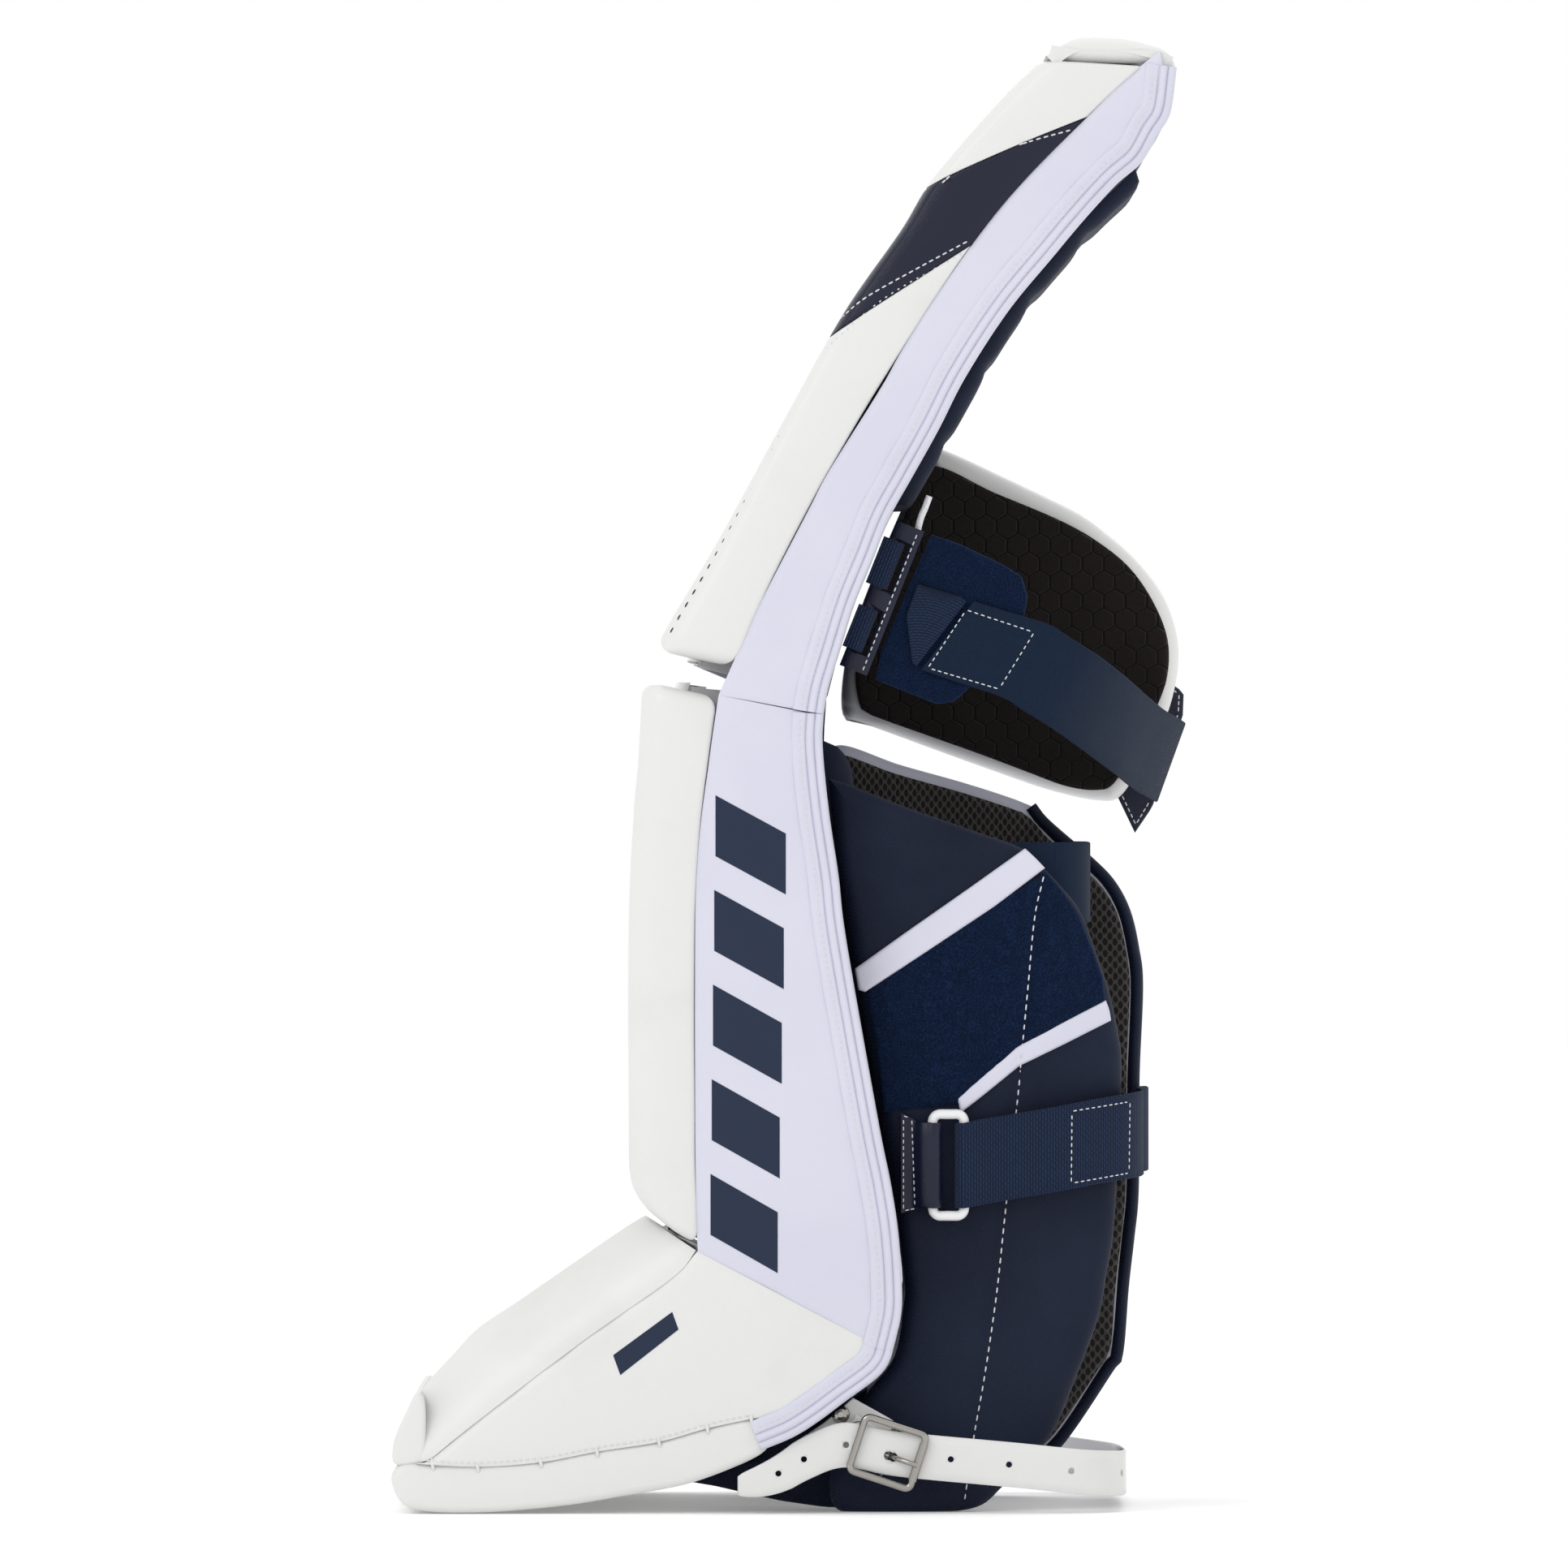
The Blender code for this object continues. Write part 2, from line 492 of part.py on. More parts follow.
CURL = 0.35                 # how fast a wrap turns in behind the calf, past its sewn crease


def crease(z):
    """The sewn crease that runs down a wrap, straight from (76, 1) to (112, 285)."""
    return 76 + 36 * (z - 1) / 284


def wing_face(side, x, z):
    """How far a wrap's outer face lies from the middle."""
    return WRAP_FACE[side] - CURL * max(0.0, x - crease(z))


def wing_row(side, z, x_low, x_high, near, far):
    """One row of a wrap's plate, between two depths under the outer face."""
    middle = min(max(crease(z), x_low + 0.2), x_high - 0.2)
    xs = [x_low, middle, x_high]
    return [(x, side * (wing_face(side, x, z) - near), z) for x in xs] \
        + [(x, side * (wing_face(side, x, z) - far), z) for x in reversed(xs)]


def wing(name, side, rear, near, far, margin, heights, material):
    """A wrap or its lining."""
    rings = []
    for z in heights:
        x_low = value_at(WING_FRONT, z) + margin
        x_high = max(value_at(rear, z) - margin, x_low + 0.6)
        rings.append(wing_row(side, z, x_low, x_high, near, far))
    return loft(name, rings, material)


OUTER_HEIGHTS = [0, 12, 33, 60, 87, 104, 139, 170, 199, 231, 254, 267, 287, 295, 310, 324]
INNER_HEIGHTS = [0, 12, 25, 59, 66, 96, 118, 140, 190, 232, 249, 265.5, 278, 288, 305.5, 313.5, 322, 340]
wing("outer_calf_wrap", -1, OUTER_REAR, 0, WRAP_THICK, 0, OUTER_HEIGHTS, NAVY_NYLON)
wing("inner_calf_wrap", 1, INNER_REAR, 0, WRAP_THICK, 0, INNER_HEIGHTS, NAVY_NYLON)
wing("inner_calf_lining", 1, INNER_REAR, WRAP_THICK + GAP, WRAP_THICK + GAP + 2, 4,
     [4] + INNER_HEIGHTS[1:-1], MESH_LINING)


def on_wing(name, rows, thick, material):
    """A trim piece sewn on the outer wrap's face; rows are (z, x_low, x_high)."""
    return loft(name, [wing_row(-1, *row, -GAP - thick, -GAP) for row in rows], material)


on_wing("calf_hook_panel", [(186, 42, 74), (205, 38.5, 97.5), (207.8, 38, 102.2),
                            (229, 34, 138.6), (238, 44.5, 137.6), (248.5, 60, 134.4),
                            (267, 87.4, 127), (284, 111, 113.5)], 1.6, FUZZ)
on_wing("calf_stripe_upper", [(233.6, 30.4, 31), (241, 28.5, 42.3), (287, 92.6, 111.7),
                              (294.4, 102.9, 103.5)], 1.6, WHITE_NYLON)
on_wing("calf_stripe_lower", [(177.5, 76, 76.6), (184, 75, 83.8), (199, 92.4, 101.2), (206, 100.6, 115.6),
                              (218.5, 122.5, 141.2), (228, 139, 139.6)], 1.6, WHITE_NYLON)
LOOP_ROUTE = [(92, -88.6), (112, -86.6), (124, -80), (131.4, -66), (133, -40), (133, 0), (133, 36),
              (131.4, 54), (127, 68)]
band("calf_elastic", [(p.x, p.y, 280) for p in smooth_points(LOOP_ROUTE, 3)], (0, 0, 1), 36, 1.6, WEBBING)

# ---- Calf strap: leather tab, plastic ring and webbing ------------------------------------------
RING_X = 69.5
RING_Y = -110.6
RING_Z = 154.6
RING_HALF = (7.0, 22.6)
RING_BAR = 2.2
WEB_THICK = 1.5
WEB_WIDE = 38
WRAP = RING_BAR + 0.5 + WEB_THICK / 2
LEFT_BAR = (RING_X - RING_HALF[0], RING_Y)
RIGHT_BAR = (RING_X + RING_HALF[0], RING_Y)
tube("calf_ring", [(RING_X + a, RING_Y, RING_Z + u) for a, u in rounded_loop(*RING_HALF, 3, 3)], RING_BAR,
     WHITE_PLASTIC, True)
LAYER = RING_Y + WRAP
TAB_START = 48.5


def tab_width(share):
    """The doubled tab widens toward its sewn ends."""
    return WEB_WIDE + 18 * max(0.0, abs(share * 2 - 1) - 0.6)


band("calf_strap_tab",
     [(TAB_START, LAYER, 155.4), (54, LAYER, 155)] + wrap(LEFT_BAR, WRAP, 90, -90, 154.4)
     + [(58, -112.8, 154.8), (54, LAYER - 1.95, 155), (TAB_START, LAYER - 1.95, 155.4)],
     (0, 0, 1), tab_width, WEB_THICK, NAVY_LEATHER)
WEB_ROUTE = [(100, -107.2, 158.6), (92, -107.2, 157.2), (84, -107.2, 156)]
WEB_OUT = [(83, -112.6, 155.6), (90, -110.4, 156.8), (100, -110.2, 158.6), (118, -107.6, 161.6),
           (134, -101, 164.6), (147, -92, 166.6), (154, -80, 167.6), (156.5, -62, 168), (157, -30, 168), (157, -1, 168)]
band("calf_strap", WEB_ROUTE + wrap(RIGHT_BAR, WRAP, 90, 270, 154.4) + WEB_OUT, (0, 0, 1), WEB_WIDE, WEB_THICK,
     WEBBING)
FAR_ROUTE = [(157, 1, 168), (157, 40, 168), (160.4, 56, 168), (160.4, 72, 167), (150, 86, 165.6),
             (128, 95, 163), (100, 97.2, 160), (70, 96.4, 157)]
band("calf_strap_far", FAR_ROUTE, (0, 0, 1), WEB_WIDE, WEB_THICK, WEBBING)

# ---- Knee flap: hangs in two webbing loops, and holds the knee strap ------------------------------
AXIS_LOW = Vector((23.5, -112, 376))
AXIS_HIGH = Vector((49, -112, 440))
RUN = (AXIS_HIGH - AXIS_LOW).normalized()
PERP = Vector((RUN.z, 0, -RUN.x))


def flap_point(back, run, out=0.0):
    """A point by its distance behind the flap's hinge line, along the line, and outward."""
    return AXIS_LOW + PERP * back + RUN * run + OUTWARD * out


def flap_box(name, back, run, out, material):
    rings = [[flap_point(b, r, o) for b, r in ((back[0], run[0]), (back[1], run[0]), (back[1], run[1]),
                                              (back[0], run[1]))] for o in out]
    return loft(name, rings, material)


strip = flap_box("knee_flap_strip", (-2.6, 10.6), (0, 69), (-1.2, 1.2), NAVY_LEATHER)
LOOP_RUNS = ((8.5, 28.5), (38.5, 60.5))
for index, (low, high) in enumerate(LOOP_RUNS):
    tool = flap_box("cutter_slot_%d" % index, (2.6, 6.6), (low - 0.7, high + 0.7), (-3, 3), FOAM)
    tool.hide_render = True
    tool.display_type = 'WIRE'
    slot = strip.modifiers.new("slot", 'BOOLEAN')
    slot.operation = 'DIFFERENCE'
    slot.object = tool


def loop_outline(radius, length, steps=6):
    """A bight: a half circle behind the line and a flat end in front of it, as (back, out)."""
    turns = [math.radians(90 - 180 * k / steps) for k in range(steps + 1)]
    arc = [(radius * math.cos(a), radius * math.sin(a)) for a in turns]
    return arc + [(-length, -radius), (-length, radius)]


def webbing_loop(name, run_low, run_high, length):
    """A closed loop of webbing round the strip's bar, stitched to the pad's back."""
    outlines = [loop_outline(4.7, length), loop_outline(3.4, length - 1.4)]
    count = len(outlines[0])
    points = [flap_point(b, run, o) for run in (run_low, run_high) for line in outlines for b, o in line]
    faces = []
    for k in range(count):
        n = (k + 1) % count
        faces.append((k, n, n + 2 * count, k + 2 * count))
        faces.append((k + count, k + 3 * count, n + 3 * count, n + count))
        faces.append((k, k + count, n + count, n))
        faces.append((k + 2 * count, n + 2 * count, n + 3 * count, k + 3 * count))
    return mesh_object(name, points, faces, WEBBING)


webbing_loop("knee_flap_loop_lower", *LOOP_RUNS[0], 4.6)
webbing_loop("knee_flap_loop_upper", *LOOP_RUNS[1], 5.4)

FLAP_PAD = [(62, 435), (74, 431), (93, 422), (102, 416.5), (105, 407.5), (103, 398), (88, 377), (77, 365),
            (72, 360.6), (64, 359.6), (36, 370), (39, 384)]
prism("knee_flap_pad", FLAP_PAD, -110.4, -106.4, FUZZ)
PATCH = [(81, 405.5), (57.2, 374.6), (92.6, 363.6), (112.4, 394.4)]
prism("knee_strap_patch", PATCH, -112.4, -110.8, WEBBING)
PULL_TAB = [(50.5, 399), (56, 413), (78.6, 406.2), (55.4, 376.2), (53.4, 377.4)]
prism("knee_strap_pull_tab", PULL_TAB, -112.4, -110.8, NAVY_NYLON)
KNEE_ROUTE = [(103.6, -111.6, 378.8), (113, -110.4, 373), (126, -101, 365), (140, -76, 355), (152, -38, 346),
              (161, 10, 339.6), (168.4, 56, 336), (172.4, 94, 334)]
KNEE_ACROSS = [Vector((0.54, 0, 0.84)).lerp(Vector((0.34, 0, 0.94)), min(1, k / 6)) for k in range(8)]
band("knee_strap", KNEE_ROUTE, KNEE_ACROSS, 38.5, 1.6, WEBBING)

LACE_ROUTE = [flap_point(8.3, run, -3.0) for run in shares(38, 63, 12)]
LACE_ROUTE += [Vector((57, -109.2, 441.6)), Vector((59, -109.6, 446.6)), Vector((61, -110, 452))]
lace = bpy.data.curves.new("knee_flap_lace", 'CURVE')
lace.dimensions = '3D'
lace.bevel_depth = 1.5 * MM
lace.bevel_resolution = 2
lace.use_fill_caps = True
LACE_POINTS = smooth_points(LACE_ROUTE, 1)
spline = lace.splines.new('POLY')
spline.points.add(len(LACE_POINTS) - 1)
for point, place in zip(spline.points, LACE_POINTS):
    point.co = (*(place * MM), 1)
lace.materials.append(WHITE_NYLON)
bpy.context.scene.collection.objects.link(bpy.data.objects.new("knee_flap_lace", lace))

# ---- Knee block ---------------------------------------------------------------------------------
BLOCK = [(23, 355), (34, 351), (86, 332), (118, 321), (141, 316), (151, 319), (171, 354), (176.4, 374),
         (176.4, 391), (170, 410), (157, 427), (129, 449), (66, 478), (60.5, 472), (46.5, 442), (31, 404), (23.6, 378)]
LINING_OUTLINE = [(36, 357), (86, 338.6), (118, 328), (141, 322.6), (148, 324), (166, 356), (171.6, 375),
                  (171.6, 390), (166, 406), (153.6, 422), (127, 443), (69, 470), (52, 441), (38, 404), (32, 378)]
loft("knee_block_pad", [[(x, y, z) for x, z in BLOCK] for y in (98, 123.6)], WHITE_LEATHER)
prism("knee_block_lining", LINING_OUTLINE, 95.2, 97.6, LINING)
ANCHOR_OUTLINE = [(140, 375), (172, 371.4), (179.6, 366), (179.2, 355), (165, 313), (157, 301), (147, 322),
                  (135, 345)]
prism("knee_strap_anchor", ANCHOR_OUTLINE, 124.2, 126.2, NAVY_LEATHER)
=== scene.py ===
"""The looks of an ice-hockey goalie leg pad: leather, nylon, foam, webbing, stitching and a buckle.

Sizes and places are in millimetres, in the frame's own axes: +Z up, -X to the front, -Y to the
pad's outer side. Each section makes one piece or one group of like pieces.
"""
import math

import bmesh
import bpy
import numpy as np
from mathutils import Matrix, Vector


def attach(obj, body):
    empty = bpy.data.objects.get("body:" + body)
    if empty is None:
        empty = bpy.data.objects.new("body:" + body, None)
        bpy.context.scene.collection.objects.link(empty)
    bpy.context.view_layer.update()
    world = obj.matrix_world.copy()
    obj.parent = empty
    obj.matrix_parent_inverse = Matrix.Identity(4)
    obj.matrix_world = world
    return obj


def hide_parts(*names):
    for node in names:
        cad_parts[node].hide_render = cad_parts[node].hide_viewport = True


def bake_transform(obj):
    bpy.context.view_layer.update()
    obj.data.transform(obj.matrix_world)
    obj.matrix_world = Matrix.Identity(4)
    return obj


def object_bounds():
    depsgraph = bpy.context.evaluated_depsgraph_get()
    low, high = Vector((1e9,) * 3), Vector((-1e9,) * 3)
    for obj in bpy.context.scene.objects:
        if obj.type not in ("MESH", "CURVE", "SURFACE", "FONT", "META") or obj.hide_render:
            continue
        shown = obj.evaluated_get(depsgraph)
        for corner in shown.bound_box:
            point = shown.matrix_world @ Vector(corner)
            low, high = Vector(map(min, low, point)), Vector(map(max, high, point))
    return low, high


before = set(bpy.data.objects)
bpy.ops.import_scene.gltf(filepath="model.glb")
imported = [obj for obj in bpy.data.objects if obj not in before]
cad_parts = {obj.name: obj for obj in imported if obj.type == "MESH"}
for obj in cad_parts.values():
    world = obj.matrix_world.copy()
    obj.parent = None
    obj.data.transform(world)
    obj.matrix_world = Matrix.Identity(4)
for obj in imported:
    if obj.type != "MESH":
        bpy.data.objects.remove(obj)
cad_box = [list(corner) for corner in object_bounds()]

# ---- Studio ------------------------------------------------------------------------------------
# A pale floor, a long lens square to the pad's outer side, and soft light: a big panel in front
# and above, one to the left that models the padding, and a white surround.
MM = 0.001
STAGE_WHITE = 0.93
CAMERA_FAR = 8.0
FRAME_SIDE = 0.6955
FRAME_MIDDLE = (-0.0036, 0.3240)     # back and up

camera_data = bpy.data.cameras.new("camera")
camera_data.sensor_width = 36.0
camera_data.lens = camera_data.sensor_width * CAMERA_FAR / FRAME_SIDE
camera_data.clip_end = 60.0
camera = bpy.data.objects.new("camera", camera_data)
camera.location = (FRAME_MIDDLE[0], cad_box[0][1] - CAMERA_FAR, FRAME_MIDDLE[1])
camera.rotation_euler = (math.radians(90), 0, 0)
bpy.context.scene.collection.objects.link(camera)
bpy.context.scene.camera = camera


def soft_panel(name, place, aim, size, power):
    """A square studio light that points from one place to another."""
    light = bpy.data.lights.new(name, 'AREA')
    light.shape = 'SQUARE'
    light.size = size
    light.energy = power
    lamp = bpy.data.objects.new(name, light)
    lamp.location = place
    away = Vector(place) - Vector(aim)
    lamp.rotation_euler = away.to_track_quat('Z', 'Y').to_euler()
    bpy.context.scene.collection.objects.link(lamp)


PAD_MIDDLE = (0.0, 0.0, 0.33)
soft_panel("key_panel", (-1.5, -2.0, 1.9), PAD_MIDDLE, size=1.5, power=16)
soft_panel("side_panel", (2.4, -1.3, 0.9), PAD_MIDDLE, size=1.2, power=3)
soft_panel("top_panel", (0.2, 0.4, 2.6), PAD_MIDDLE, size=2.0, power=9)
soft_panel("back_panel", (0.4, 2.4, 1.5), PAD_MIDDLE, size=1.6, power=7)

surround = bpy.data.worlds.new("surround")
surround.use_nodes = True
for socket, value in (("Color", (1.0, 1.0, 1.0, 1.0)), ("Strength", 1.0)):
    surround.node_tree.nodes["Background"].inputs[socket].default_value = value
bpy.context.scene.world = surround
bpy.context.scene.view_settings.view_transform = 'Standard'

FLOOR_HALF = 14.0
FLOOR_GLOW = 0.13
floor_corners = [(x * FLOOR_HALF, y * FLOOR_HALF, 0) for x, y in ((-1, -1), (1, -1), (1, 1), (-1, 1))]
floor_mesh = bpy.data.meshes.new("studio_floor")
floor_mesh.from_pydata(floor_corners, [], [(0, 1, 2, 3)])
floor = bpy.data.objects.new("studio_floor", floor_mesh)
floor_finish = bpy.data.materials.new("studio_floor")
floor_finish.use_nodes = True
for socket, value in (("Base Color", (STAGE_WHITE, STAGE_WHITE, STAGE_WHITE, 1.0)), ("Roughness", 0.9),
                      ("Emission Color", (1.0, 1.0, 1.0, 1.0)), ("Emission Strength", FLOOR_GLOW)):
    floor_finish.node_tree.nodes["Principled BSDF"].inputs[socket].default_value = value
floor_mesh.materials.append(floor_finish)
bpy.context.scene.collection.objects.link(floor)


# ---- Roll ----------------------------------------------------------------------------------------
# The padded roll runs down the pad's outer front edge: synthetic leather over a foam log, closed by
# a seam against the side panel. It is cut at the knee and at the ankle, where the pad bends, and on
# the thigh a navy band is let into it between two slanted seams.
OUTER = -128.0
ROLL_INNER = -84.0


def through(points, step):
    """Points a step apart on a smooth curve through the given ones, and how far along each is."""
    given = np.array(points, float)
    padded = np.vstack([2 * given[0] - given[1], given, 2 * given[-1] - given[-2]])
    fine = []
    for a, b, c, d in zip(padded, padded[1:], padded[2:], padded[3:]):
        t = np.linspace(0, 1, 25)[:-1, None]
        fine.append(0.5 * (2 * b + (c - a) * t + (2 * a - 5 * b + 4 * c - d) * t ** 2
                           + (3 * b - a - 3 * c + d) * t ** 3))
    fine = np.vstack([*fine, given[-1:]])
    run = np.concatenate([[0], np.cumsum(np.linalg.norm(np.diff(fine, axis=0), axis=1))])
    stops = np.linspace(0, run[-1], max(2, round(run[-1] / step) + 1))
    return np.stack([np.interp(stops, run, fine[:, k]) for k in range(fine.shape[1])], axis=1)


class Length:
    """A padded length of the pad, read by its share of the way up: front line, roll seam and back edge."""

    def __init__(self, front, seam, edge):
        self.lines = {"front": through(front, 1.0), "seam": through(seam, 1.0), "edge": through(edge, 1.0)}

    def at(self, line, share):
        points = self.lines[line]
        place = np.clip(share, 0, 1) * (len(points) - 1)
        return np.stack([np.interp(place, np.arange(len(points)), points[:, k]) for k in (0, 1)], axis=-1)

    def back(self, line, share, distance):
        """A line's point moved toward the back edge."""
        across = self.at("edge", share) - self.at("front", share)
        across = across / np.linalg.norm(across, axis=-1, keepdims=True)
        return self.at(line, share) + across * np.asarray(distance)[..., None]


thigh = Length(
    front=[(-60, 382), (-53, 395.6), (-32.4, 431), (-1.4, 488.5), (24, 534), (49, 570), (64, 594),
           (94.7, 629), (114, 647), (121, 652.6)],
    seam=[(-26, 374.6), (-9.7, 413), (17, 464), (49, 517), (87.5, 573.5), (131, 620), (165, 650.5)],
    edge=[(16.3, 363), (27.6, 404), (43, 442), (64.7, 481), (95.8, 534), (129, 574), (155, 600),
          (168, 622), (170.5, 642)],
)
shin = Length(
    front=[(-57, 128), (-66.6, 139), (-70.7, 150), (-71.3, 175), (-71.3, 260), (-69, 311), (-67, 334),
           (-65, 371)],
    seam=[(-41.8, 118), (-43, 175), (-43, 260), (-40, 311), (-33, 364)],
    edge=[(45, 74.5), (48.6, 101.5), (38, 175), (24, 254), (14.7, 325), (13.4, 343), (15.8, 361.5)],
)
boot = Length(
    front=[(-176.6, 26), (-172, 42.5), (-161.6, 60), (-140, 82), (-99.7, 109), (-70, 128.5)],
    seam=[(-169.5, 20), (-161.6, 23.5), (-140, 41), (-94, 76), (-53.7, 104), (-44, 115)],
    edge=[(-168, 21), (-140, 20), (-112, 22), (-87, 26.7), (-59.5, 31), (-30, 36), (-8, 37),
          (6, 38.5), (23.4, 50), (37, 60), (43.5, 71.3)],
)


def ripple(a, b, wavelength, seed=0.0):
    """A gentle uneven wave between -1 and 1, for cloth that isn't quite flat."""
    k = math.tau / wavelength
    one = np.sin(k * a + 1.7 * np.sin(k * 0.61 * b + seed))
    other = np.sin(k * 0.73 * b + 2.1 * np.sin(k * 0.47 * a + seed * 2.3))
    slanted = np.sin(k * 1.31 * (a + b) * 0.7 + seed * 1.1)
    return (one + other + slanted) / 3


def solid(name, points, faces, uv=None, smooth_under=50):
    """A closed mesh from points in millimetres; its seams are welded and its faces turned outward."""
    mesh = bpy.data.meshes.new(name)
    mesh.from_pydata((np.asarray(points, float) * MM).tolist(), [], faces)
    if uv is not None:
        layer = mesh.uv_layers.new(name="cloth")
        corners = np.zeros(len(mesh.loops), int)
        mesh.loops.foreach_get("vertex_index", corners)
        layer.data.foreach_set("uv", (np.asarray(uv, float)[corners] * MM).ravel())
    obj = bpy.data.objects.new(name, mesh)
    bpy.context.scene.collection.objects.link(obj)
    bm = bmesh.new()
    bm.from_mesh(mesh)
    bmesh.ops.remove_doubles(bm, verts=bm.verts, dist=2e-6)
    bmesh.ops.dissolve_degenerate(bm, dist=1e-6, edges=bm.edges)
    bmesh.ops.recalc_face_normals(bm, faces=bm.faces)
    bm.to_mesh(mesh)
    bm.free()
    mesh.shade_smooth()
    mesh.set_sharp_from_angle(angle=math.radians(smooth_under))
    return obj


def skinned(name, rings, **options):
    """A skin over rings of points, closed at both ends."""
    rings = np.asarray(rings, float)
    rows, count = rings.shape[:2]
    faces = [tuple(range(count)), tuple(range((rows - 1) * count, rows * count))[::-1]]
    for r in range(rows - 1):
        for k in range(count):
            a, b = r * count + k, r * count + (k + 1) % count
            faces.append((a, b, b + count, a + count))
    around = np.concatenate([[0], np.cumsum(np.linalg.norm(np.diff(rings[rows // 2], axis=0), axis=1))])
    along = np.concatenate([[0], np.cumsum(np.linalg.norm(np.diff(rings, axis=0), axis=2).mean(axis=1))])
    uv = np.stack([np.tile(around, rows), np.repeat(along, count)], axis=1)
    return solid(name, rings.reshape(-1, 3), faces, uv, **options)


def sandwich(name, near, far, **options):
    """A closed sheet between two grids of points that share their outline."""
    near, far = np.asarray(near, float), np.asarray(far, float)
    rows, count = near.shape[:2]
    total = rows * count
    faces = []
    for r in range(rows - 1):
        for k in range(count - 1):
            a = r * count + k
            faces.append((a, a + 1, a + count + 1, a + count))
            faces.append((a + total, a + count + total, a + count + 1 + total, a + 1 + total))
    rim = list(range(count))
    rim += [r * count + count - 1 for r in range(1, rows)]
    rim += [(rows - 1) * count + k for k in range(count - 2, -1, -1)]
    rim += [r * count for r in range(rows - 2, 0, -1)]
    for a, b in zip(rim, rim[1:] + rim[:1]):
        faces.append((a, a + total, b + total, b))
    across = np.cumsum(np.linalg.norm(np.diff(near, axis=1), axis=2), axis=1)
    across = np.concatenate([np.zeros((rows, 1)), across], axis=1)
    along = np.cumsum(np.linalg.norm(np.diff(near, axis=0), axis=2), axis=0)
    along = np.concatenate([np.zeros((1, count)), along], axis=0)
    one = np.stack([across.ravel(), along.ravel()], axis=1)
    return solid(name, np.concatenate([near.reshape(-1, 3), far.reshape(-1, 3)]), faces,
                 np.concatenate([one, one]), **options)


class Wire:
    """A shader value that takes part in ordinary sums."""

    def __init__(self, tree, socket):
        self.tree = tree
        self.socket = socket

    def sum(self, operation, *values):
        node = self.tree.nodes.new("ShaderNodeMath")
        node.operation = operation
        for place, value in zip(node.inputs, values):
            if isinstance(value, Wire):
                self.tree.links.new(value.socket, place)
            else:
                place.default_value = value
        return Wire(self.tree, node.outputs[0])

    def __add__(self, other):
        return self.sum('ADD', self, other)

    def __sub__(self, other):
        return self.sum('SUBTRACT', self, other)

    def __rsub__(self, other):
        return self.sum('SUBTRACT', other, self)

    def __mul__(self, other):
        return self.sum('MULTIPLY', self, other)

    def __truediv__(self, other):
        return self.sum('DIVIDE', self, other)

    def __lt__(self, other):
        return self.sum('LESS_THAN', self, other)

    def __gt__(self, other):
        return self.sum('GREATER_THAN', self, other)

    def __abs__(self):
        return self.sum('ABSOLUTE', self)

    def __mod__(self, other):
        return self.sum('FLOORED_MODULO', self, other)

    __radd__ = __add__
    __rmul__ = __mul__


class Finish:
    """A material in the making: its shader, its nodes, and the place on the piece in millimetres."""

    def __init__(self, name, colour, roughness, sockets=None):
        self.material = bpy.data.materials.new(name)
        self.material.use_nodes = True
        self.tree = self.material.node_tree
        self.shader = self.tree.nodes["Principled BSDF"]
        self.shader.inputs["Base Color"].default_value = (*colour, 1.0)
        self.shader.inputs["Roughness"].default_value = roughness
        for socket, value in (sockets or {}).items():
            self.shader.inputs[socket].default_value = value

    def node(self, kind, settings, inputs, output=0):
        """A node of one kind, its settings made before its sockets are filled or linked."""
        node = self.tree.nodes.new(kind)
        for setting, value in settings.items():
            setattr(node, setting, value)
        for socket, value in inputs.items():
            if isinstance(value, Wire):
                self.tree.links.new(value.socket, node.inputs[socket])
            else:
                node.inputs[socket].default_value = value
        return Wire(self.tree, node.outputs[output])

    def place(self, source="Object"):
        """The place in millimetres: on the piece itself, or along and across its cloth."""
        spot = self.node("ShaderNodeTexCoord", {}, {}, source)
        return self.node("ShaderNodeVectorMath", {"operation": 'SCALE'}, {0: spot, "Scale": 1000.0})

    def parts(self, vector):
        """A place's three numbers."""
        node = self.node("ShaderNodeSeparateXYZ", {}, {0: vector})
        return [Wire(self.tree, socket) for socket in node.socket.node.outputs]

    def noise(self, vector, size, detail=2.0):
        """Noise with features of about that size in millimetres."""
        return self.node("ShaderNodeTexNoise", {}, {"Vector": vector, "Scale": 1 / size, "Detail": detail})

    def cells(self, vector, size, feature):
        """Pebble-like cells of about that size in millimetres."""
        return self.node("ShaderNodeTexVoronoi", {"feature": feature}, {"Vector": vector, "Scale": 1 / size})

    def ramp(self, value, low, high):
        """0 below low and 1 above high, with a smooth rise."""
        return self.node("ShaderNodeMapRange", {"interpolation_type": 'SMOOTHSTEP'},
                         {"Value": value, "From Min": low, "From Max": high})

    def tint(self, mask, *colours):
        """Base colour that goes from the first colour to the second with a mask."""
        if isinstance(colours[0], Wire):
            first = colours[0]
        else:
            first = (*colours[0], 1.0)
        second = (*colours[1], 1.0)
        mixed = self.node("ShaderNodeMix", {"data_type": 'RGBA'}, {0: mask, 6: first, 7: second}, 2)
        self.tree.links.new(mixed.socket, self.shader.inputs["Base Color"])
        return mixed

    def rough(self, value):
        self.tree.links.new(value.socket, self.shader.inputs["Roughness"])

    def bump(self, height, depth):
        """Relief, its height from 0 to 1 standing for a depth in millimetres."""
        normal = self.node("ShaderNodeBump", {}, {"Height": height, "Distance": depth * MM, "Strength": 1.0})
        self.tree.links.new(normal.socket, self.shader.inputs["Normal"])


